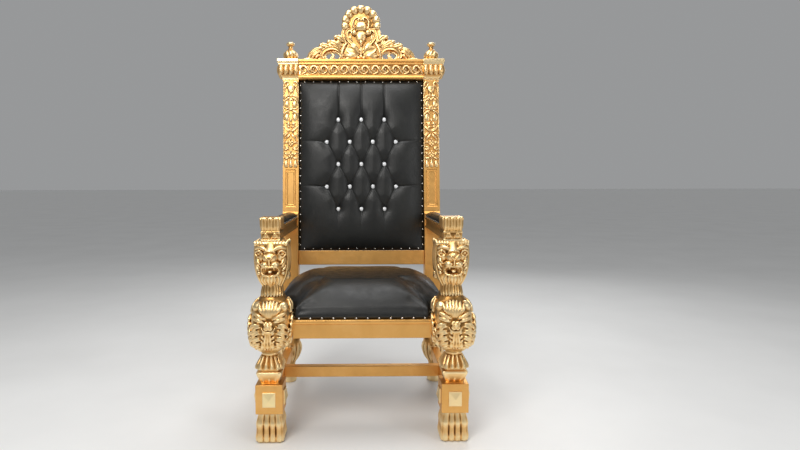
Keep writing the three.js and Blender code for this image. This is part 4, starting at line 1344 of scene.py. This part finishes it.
def arm_rails():
    front = LEG_Y + 40.3
    low, high = ARM_Z
    section_points = [
        (ARM_OUT - 2, low), (ARM_OUT, low + 2), (ARM_OUT, low + 6), (ARM_OUT - 2, low + 9),
        (ARM_OUT - 4, low + 13), (ARM_OUT - 4, high - 13), (ARM_OUT - 2, high - 9), (ARM_OUT, high - 6),
        (ARM_OUT, high - 1), (ARM_IN, high - 1), (ARM_IN, high - 6), (ARM_IN + 2, high - 9),
        (ARM_IN + 4, high - 13), (ARM_IN + 4, low + 13), (ARM_IN + 2, low + 9), (ARM_IN, low + 6),
        (ARM_IN, low + 2), (ARM_IN + 2, low),
    ]
    rail = loft(
        [[(x, front, z) for x, z in section_points], [(x, post_face(z), z) for x, z in section_points]]
    )
    pair(piece("arm_rail_moulded_right", [rail], GOLD_PLAIN, 30), "gold", "arm_rail")


# ---- Upholstery ----------------------------------------------------------------------------------

BUTTONS = [
    ((i - (count - 1) / 2) * BUTTON_DX, PANEL_MIDDLE + (2 - row) * BUTTON_DZ)
    for row, count in enumerate(BUTTON_ROWS)
    for i in range(count)
]


def to_segment(x, z, a, b):
    """Distance to the line from a to b, and the share of the way along it."""
    dx, dz = b[0] - a[0], b[1] - a[1]
    t = np.clip(((x - a[0]) * dx + (z - a[1]) * dz) / (dx * dx + dz * dz), 0, 1)
    return np.hypot(x - a[0] - t * dx, z - a[1] - t * dz), t


def pleats():
    """The folds between the buttons and out to the frame, as (from, to, depth at its start, depth at its
    end).
    """
    folds = []
    for i, a in enumerate(BUTTONS):
        for b in BUTTONS[i + 1 :]:
            if abs(abs(a[0] - b[0]) - BUTTON_DX / 2) < 1 and abs(a[1] - b[1]) < BUTTON_DZ + 1:
                folds.append((a, b, 1.0, 1.0))
    top = [b for b in BUTTONS if b[1] > PANEL_MIDDLE + 1.9 * BUTTON_DZ]
    bottom = [b for b in BUTTONS if b[1] < PANEL_MIDDLE - 1.9 * BUTTON_DZ]
    folds += [(b, (b[0], PANEL[1] - 2), 1.0, 0.55) for b in top]
    folds += [(b, (b[0] * 1.02, PANEL[0] + 96), 0.7, 0.0) for b in bottom]
    for b in BUTTONS:
        if abs(b[0]) > 1.4 * BUTTON_DX:
            folds.append((b, (math.copysign(POST_IN - 14, b[0]), b[1] + 6), 0.9, 0.35))
    return folds


def leather_depth(x, z):
    """How far the tufted leather stands out of its edge."""
    to_side, to_end = POST_IN - np.abs(x), np.minimum(z - PANEL[0], PANEL[1] - z)
    rim = 9 * np.sqrt(np.clip(np.minimum(to_side, to_end) / 14, 0, 1))
    swell = (1 - np.exp(-np.maximum(to_side - 3, 0) / 46)) * (1 - np.exp(-np.maximum(to_end - 3, 0) / 50))
    fall, thin = np.zeros_like(x), np.zeros_like(x)
    for a, b, start, end in pleats():
        d, t = to_segment(x, z, a, b)
        strength = start + (end - start) * t
        sag = 1 - 0.3 * np.sin(np.pi * t) * (end > 0.9) - 0.2 * t * (end <= 0.9)
        fall = np.maximum(fall, 5.5 * strength * sag * np.exp(-((d / 20) ** 1.4)))
        thin = np.maximum(thin, 5.2 * strength * sag * np.exp(-((d / 3.6) ** 1.4)))
    nearest = np.min([np.hypot(x - bx, (z - bz) * 0.85) for bx, bz in BUTTONS], axis=0)
    pit = 13 * np.exp(-((nearest / 27) ** 1.3)) + 4 * np.exp(-((nearest / 11) ** 2))
    return rim + 40 * swell - fall - thin - pit


def back_pad():
    half, (low, high) = POST_IN - 0.5, PANEL
    tufted = 1.9 * BUTTON_DX, 2.35 * BUTTON_DZ
    xs = np.concatenate(
        [
            -np.linspace(half, tufted[0], 17)[:-1], np.linspace(-tufted[0], tufted[0], 186),
            np.linspace(tufted[0], half, 17)[1:],
        ]
    )
    zs = np.concatenate(
        [
            np.linspace(low + 0.3, PANEL_MIDDLE - tufted[1], 30)[:-1],
            np.linspace(PANEL_MIDDLE - tufted[1], PANEL_MIDDLE + tufted[1], 200),
            np.linspace(PANEL_MIDDLE + tufted[1], high - 0.5, 30)[1:],
        ]
    )
    nx, nz = len(xs), len(zs)
    x, z = np.meshgrid(xs, zs)
    depth = leather_depth(x, z)
    front = np.stack([x, LEATHER_Y - depth, z], -1)
    points = np.vstack(
        [front.reshape(-1, 3), np.stack([x, np.full_like(x, LEATHER_REAR_Y), z], -1).reshape(-1, 3)]
    )
    n = nx * nz
    i = np.arange(n).reshape(nz, nx)
    quads = np.stack([i[:-1, :-1], i[:-1, 1:], i[1:, 1:], i[1:, :-1]], -1).reshape(-1, 4)
    faces = [tuple(q) for q in quads.tolist()]
    edge = [*i[0, :], *i[1:, -1], *i[-1, -2::-1], *i[-2:0:-1, 0]]
    for k in range(len(edge)):
        a, b = int(edge[k]), int(edge[(k + 1) % len(edge)])
        faces.append((a, a + n, b + n, b))
    faces.append(tuple(int(e + n) for e in edge))
    used = np.unique(np.concatenate([np.arange(n), np.array(edge) + n]))
    renumber = np.full(2 * n, -1)
    renumber[used] = np.arange(len(used))
    faces = [tuple(int(renumber[v]) for v in f) for f in faces]
    obj = piece("back_leather", [(leaned(points[used]), faces)], LEATHER, 60)
    finish_piece(obj, "leather", "back_pad")


def back_board():
    """The plain leather back of the panel, lightly domed."""
    half, (low, high) = POST_IN - 0.5, PANEL
    xs, zs = np.linspace(-half, half, 60), np.linspace(low + 0.4, high - 0.6, 80)
    x, z = np.meshgrid(xs, zs)
    to_edge = np.minimum(np.minimum(half - np.abs(x), z - low), high - z)
    depth = BOARD_EDGE + 8 * (1 - np.exp(-np.maximum(to_edge, 0) / 40)) - 5 * np.exp(-to_edge / 3)
    shell = np.stack([x, BOARD_Y + depth, z], -1)
    n = x.size
    i = np.arange(n).reshape(x.shape)
    quads = np.stack([i[:-1, :-1], i[1:, :-1], i[1:, 1:], i[:-1, 1:]], -1).reshape(-1, 4)
    faces = [tuple(q) for q in quads.tolist()]
    edge = [int(v) for v in [*i[0, :], *i[1:, -1], *i[-1, -2::-1], *i[-2:0:-1, 0]]]
    rim = shell.reshape(-1, 3)[edge].copy()
    rim[:, 1] = BOARD_Y - 0.1
    m = len(edge)
    faces += [(edge[k], edge[(k + 1) % m], n + (k + 1) % m, n + k) for k in range(m)]
    faces.append(tuple(n + k for k in range(m))[::-1])
    obj = piece(
        "back_board_leather", [(leaned(np.vstack([shell.reshape(-1, 3), rim])), faces)], LEATHER, 60
    )
    finish_piece(obj, "leather", "back_board")


def inflate(obj, voxel, cap, pin_below, pressure=4.0):
    """Swells a closed leather shape with cloth simulation. What lies under pin_below stays put and no
    point moves further than cap, both in metres."""
    remesh = obj.modifiers.new("even", "REMESH")
    remesh.mode = "VOXEL"
    remesh.voxel_size = voxel
    apply_modifiers(obj)
    before = points_of(obj.data)
    held = obj.vertex_groups.new(name="held")
    held.add([int(i) for i in np.nonzero(before[:, 2] < pin_below)[0]], 1.0, "REPLACE")
    cloth = obj.modifiers.new("cloth", "CLOTH")
    cloth.settings.use_pressure = True
    cloth.settings.uniform_pressure_force = pressure
    cloth.settings.vertex_group_mass = "held"
    cloth.settings.effector_weights.gravity = 0
    cloth.settings.quality = 5
    cloth.point_cache.frame_start, cloth.point_cache.frame_end = 1, 20
    scene = bpy.context.scene
    for f in range(1, 21):
        scene.frame_set(f)
    swollen = points_of(obj.evaluated_get(bpy.context.evaluated_depsgraph_get()).data)
    moved_by = swollen - before
    size = np.linalg.norm(moved_by, axis=1, keepdims=True)
    after = before + moved_by * np.minimum(1, cap / np.maximum(size, 1e-9))
    obj.modifiers.remove(cloth)
    obj.vertex_groups.clear()
    set_points(obj.data, after)
    scene.frame_set(1)


def refine(obj, most):
    smooth = obj.modifiers.new("smooth", "SMOOTH")
    smooth.factor, smooth.iterations = 0.5, 6
    fine = obj.modifiers.new("fine", "SUBSURF")
    fine.levels = fine.render_levels = 1
    apply_modifiers(obj)
    thin = obj.modifiers.new("thin", "DECIMATE")
    thin.ratio = min(1, most / triangles(obj.data))
    apply_modifiers(obj)
    obj.data.shade_smooth()


def seat_outline(x, y):
    """Distance in from the seat's outline, notched at legs and posts: plain, and soft at its corners."""

    def notch(across, deep):
        """Distance from a corner that is cut out, where both are negative inside the cut."""
        return np.where((across > 0) & (deep > 0), np.hypot(across, deep), np.maximum(across, deep))

    leg = notch(SEAT_AT_LEG[0] - np.abs(x), y - SEAT_AT_LEG[1])
    post = notch(SEAT_AT_POST[0] - np.abs(x), SEAT_AT_POST[1] - y)
    sides = [SEAT_HALF - np.abs(x), y - FRONT - 1.5, SEAT_REAR - y, leg, post]
    plain = np.min(sides, axis=0)
    soft = np.sum([np.maximum(d, 0.5) ** -3.0 for d in sides], axis=0) ** (-1 / 3.0)
    return plain, np.where(plain > 0, np.minimum(soft, plain), plain)


def seat_cushion():
    """The domed seat: crowned, saddled a little in the middle and drawn down to its row of nails."""
    bottom, crown = RAIL[1] + 0.8, SEAT_CROWN
    step = 8.0
    xs = np.arange(-352, 352.1, step)
    ys = np.arange(-304, 300.1, step)
    x, y = np.meshgrid(xs, ys)
    d, soft = seat_outline(x, y)
    t = np.clip(soft / 110, 0, 1)
    height = 12 + (crown - bottom - 12) * (1 - (1 - t) ** 2.7) ** 0.62
    keep = d > -0.5
    held = d < 12
    for _ in range(90):  # leather pulls tight over the padding, so the crown has no ridges
        ringed = np.pad(height, 1, mode="edge")
        even = (ringed[:-2, 1:-1] + ringed[2:, 1:-1] + ringed[1:-1, :-2] + ringed[1:-1, 2:]) / 4
        height = np.where(held, height, even)
    height *= (crown - bottom) / height.max()
    top = np.stack([x, y, bottom + height], -1)
    base = np.stack([x, y, np.full_like(x, bottom)], -1)
    n = x.size
    i = np.arange(n).reshape(x.shape)
    cell = keep[:-1, :-1] & keep[:-1, 1:] & keep[1:, 1:] & keep[1:, :-1]
    faces = []
    corners = [i[:-1, :-1], i[:-1, 1:], i[1:, 1:], i[1:, :-1]]
    for a, b, c, e, used in zip(*[q.ravel().tolist() for q in corners], cell.ravel().tolist()):
        if used:
            faces += [(a, b, c, e), (e + n, c + n, b + n, a + n)]
    counted = {}
    for f in faces[::2]:
        for k in range(4):
            counted[(f[k], f[(k + 1) % 4])] = 1
    faces += [(b, a, a + n, b + n) for a, b in counted if (b, a) not in counted]
    points = np.vstack([top.reshape(-1, 3), base.reshape(-1, 3)])
    obj = piece("seat_leather", [(points, faces)], LEATHER)
    inflate(obj, 0.006, 0.010, (bottom + 16) * MM)
    at = points_of(obj.data)
    x, y, z = at[:, 0] / MM, at[:, 1] / MM - SHIFT_Y, at[:, 2] / MM
    share = np.clip((z - bottom) / (crown - bottom), 0, 1)
    saddle = 5.0 * np.exp(-((x / 95) ** 2)) * share**3 * np.clip((300 - y) / 200, 0, 1)
    z = z - saddle
    z = np.minimum(z, crown + 2.5)
    at[:, 2] = np.maximum(z, bottom) * MM
    set_points(obj.data, at)
    refine(obj, 70000)
    finish_piece(obj, "leather", "seat_cushion")


def arm_pads():
    front, bottom = LEG_Y + 40.8, ARM_Z[1] + 0.4
    middle, half = (ARM_IN + ARM_OUT) / 2, (ARM_OUT - ARM_IN) / 2 - 1.5
    a = np.linspace(0, np.pi, 15)
    rings = []
    for share, rise in ((0, 0.55), (0.02, 0.85), (0.06, 1), (0.5, 1.0), (0.94, 1), (0.98, 0.85), (1, 0.6)):
        ring = []
        for angle in a:
            z = bottom + 26 * rise * math.sin(angle) ** 0.7
            y = front + (post_face(z) - 0.5 - front) * share
            ring.append((middle + half * math.cos(angle), y, z))
        rings.append(ring[::-1])
    obj = piece("arm_leather_right", [loft(rings)], LEATHER)
    inflate(obj, 0.004, 0.0015, (bottom + 4) * MM, 2.0)
    at = points_of(obj.data)
    at[:, 2] = np.clip(at[:, 2], bottom * MM, 0.8405)
    set_points(obj.data, at)
    refine(obj, 14000)
    for made in pair(obj, "leather", "arm_pad"):
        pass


def dome(centre, out, radius, height, around=10):
    """One upholstery nail: a low domed head that looks along out."""
    out = unit(np.asarray(out, float))
    side = unit(np.cross(out, (0.3, 0.2, 1.0)))
    up = np.cross(out, side)
    t = np.linspace(0, 2 * np.pi, around, endpoint=False)
    ring = lambda r, h: np.asarray(centre) + out * h + (
        np.cos(t)[:, None] * side + np.sin(t)[:, None] * up
    ) * r
    return loft(
        [
            ring(radius * 0.96, -0.8), ring(radius, 0.3), ring(radius * 0.8, height * 0.65),
            ring(radius * 0.4, height * 0.95),
        ]
    )


def nail_row(start, end, count, out, **size):
    size = size or NAIL
    start, end = np.asarray(start, float), np.asarray(end, float)
    return [dome(start + (end - start) * (i + 0.5) / count, out, **size) for i in range(count)]


def nails():
    low, high = PANEL[0] + 8, PANEL[1] - 8
    edge = POST_IN - 8
    y = LEATHER_Y - float(leather_depth(np.array([edge]), np.array([PANEL_MIDDLE]))[0]) - 0.3
    shapes = []
    for s in (-1, 1):
        shapes += nail_row((s * edge, y, low), (s * edge, y, high), 22, (s * 0.35, -1, 0))
    shapes += nail_row((-edge, y, high), (edge, y, high), 14, (0, -1, 0.35))
    shapes += nail_row((-edge, y, low), (edge, y, low), 14, (0, -1, -0.35))
    rear_y = BOARD_Y + BOARD_EDGE
    for s in (-1, 1):
        shapes += nail_row((s * edge, rear_y, low), (s * edge, rear_y, high), 22, (s * 0.35, 1, 0))
    for z in (low, high):
        shapes += nail_row((-edge, rear_y, z), (edge, rear_y, z), 15, (0, 1, 0))
    finish_piece(piece("nails_back", moved(shapes, leaned), SILVER), None)
    z = RAIL[1] + 6
    shapes = nail_row((-258, FRONT + 1.2, z), (258, FRONT + 1.2, z), 12, (0, -1, 0))
    for s in (-1, 1):
        side = s * (SEAT_HALF + 0.3)
        shapes += nail_row((side, -196, z), (side, 232, z), 10, (s, 0, 0))
    shapes += nail_row((-288, SEAT_REAR + 0.3, z), (288, SEAT_REAR + 0.3, z), 13, (0, 1, 0))
    finish_piece(piece("nails_seat", shapes, SILVER), None)
    shapes = []
    z = ARM_Z[1] + 4.5
    front, rear = LEG_Y + 48, post_face(z) - 8
    for x, out in ((ARM_IN + 1.6, -1), (ARM_OUT - 1.6, 1)):
        shapes += nail_row((x, front, z), (x, rear, z), 14, (out, 0, 0.2), **ARM_NAIL)
    pair(piece("nails_arm_right", shapes, SILVER), None)


def crystals():
    """Faceted stones in thin silver cups, one at each tuft."""
    stones, cups, foils = [], [], []
    for x, z in BUTTONS:
        depth = float(leather_depth(np.array([x]), np.array([z]))[0])
        y = LEATHER_Y - depth - 4.5
        t = np.linspace(0, 2 * np.pi, 12, endpoint=False)
        ring = lambda r, h, turn=0.0: np.stack(
            [x + r * np.cos(t + turn), y - h + 0 * t, z + r * np.sin(t + turn)], -1
        )
        cups.append(loft([ring(8.0, -5), ring(10.0, 0), ring(10.3, 2.6), ring(9.9, 3.2)]))
        foils.append(loft([ring(9.4, 2.4), ring(9.6, 3.4), ring(5.0, 5.2, 0.26), ring(1.5, 5.8)]))
        stones.append(
            loft([ring(9.5, 3.6), ring(9.9, 4.4), ring(9.7, 5.4), ring(7.4, 8.4, 0.26), ring(4.4, 9.6)])
        )
    names = [f"button_{i + 1:02d}" for i in range(len(BUTTONS))]
    finish_piece(piece("crystal_stones", moved(stones, leaned), CRYSTAL, 5), "crystal", *names)
    finish_piece(piece("crystal_cups", moved(cups, leaned), SILVER, 30), None)
    finish_piece(piece("crystal_foils", moved(foils, leaned), FOIL, 5), None)


# ---- Building ------------------------------------------------------------------------------------

front_legs()
back_posts()
cornice()
crest()
finials()
rails()
arm_rails()
back_pad()
back_board()
seat_cushion()
arm_pads()
nails()
crystals()

# ---- Stage, light and camera ---------------------------------------------------------------------


def stage():
    size = 80.0
    mesh = bpy.data.meshes.new("floor")
    mesh.from_pydata(
        [(-size, -size, 0), (size, -size, 0), (size, size, 0), (-size, size, 0)], [], [(0, 1, 2, 3)]
    )
    floor = bpy.data.objects.new("floor", mesh)
    bpy.context.scene.collection.objects.link(floor)
    pale = Surface("pale_floor", 0.0, 0.55)
    tone = pale.ramp(pale.noise(1.5), (0.3, (0.82, 0.82, 0.81)), (0.7, (0.87, 0.87, 0.86)))
    mesh.materials.append(pale.done(tone))


def lamp(name, place, aim, size, watts, colour=(1, 1, 1)):
    data = bpy.data.lights.new(name, "AREA")
    data.shape = "RECTANGLE"
    data.size, data.size_y = size
    data.energy = watts
    data.color = colour
    obj = bpy.data.objects.new(name, data)
    obj.location = place
    obj.rotation_euler = (Vector(aim) - Vector(place)).to_track_quat("-Z", "Y").to_euler()
    bpy.context.scene.collection.objects.link(obj)


def studio():
    world = bpy.data.worlds.new("studio")
    bpy.context.scene.world = world
    world.use_nodes = True
    world.node_tree.nodes["Background"].inputs["Color"].default_value = (0.62, 0.63, 0.64, 1)
    world.node_tree.nodes["Background"].inputs["Strength"].default_value = 0.5
    lamp("key", (-1.1, -2.6, 3.2), (0, 0, 0.9), (1.3, 1.3), 66, (1.0, 0.98, 0.95))
    lamp("fill", (2.4, -2.4, 1.8), (0, 0, 0.9), (0.9, 1.6), 16)
    lamp("top", (0, -0.2, 3.5), (0, 0, 0.8), (1.8, 1.8), 44)
    lamp("rear", (0.8, 3.0, 2.6), (0, 0, 1.0), (2.0, 1.4), 36)
    bpy.context.scene.view_settings.view_transform = "Standard"


def camera():
    data = bpy.data.cameras.new("camera")
    data.sensor_width = 36.0
    data.lens = CAMERA_LENS
    data.shift_x = CAMERA_SHIFT
    obj = bpy.data.objects.new("camera", data)
    obj.location = Vector(CAMERA_AT) + Vector((0, SHIFT_Y * MM, 0))
    obj.rotation_euler = Vector(CAMERA_TURN) + Vector((math.pi / 2, 0, 0))
    bpy.context.scene.collection.objects.link(obj)
    bpy.context.scene.camera = obj


stage()
studio()
camera()
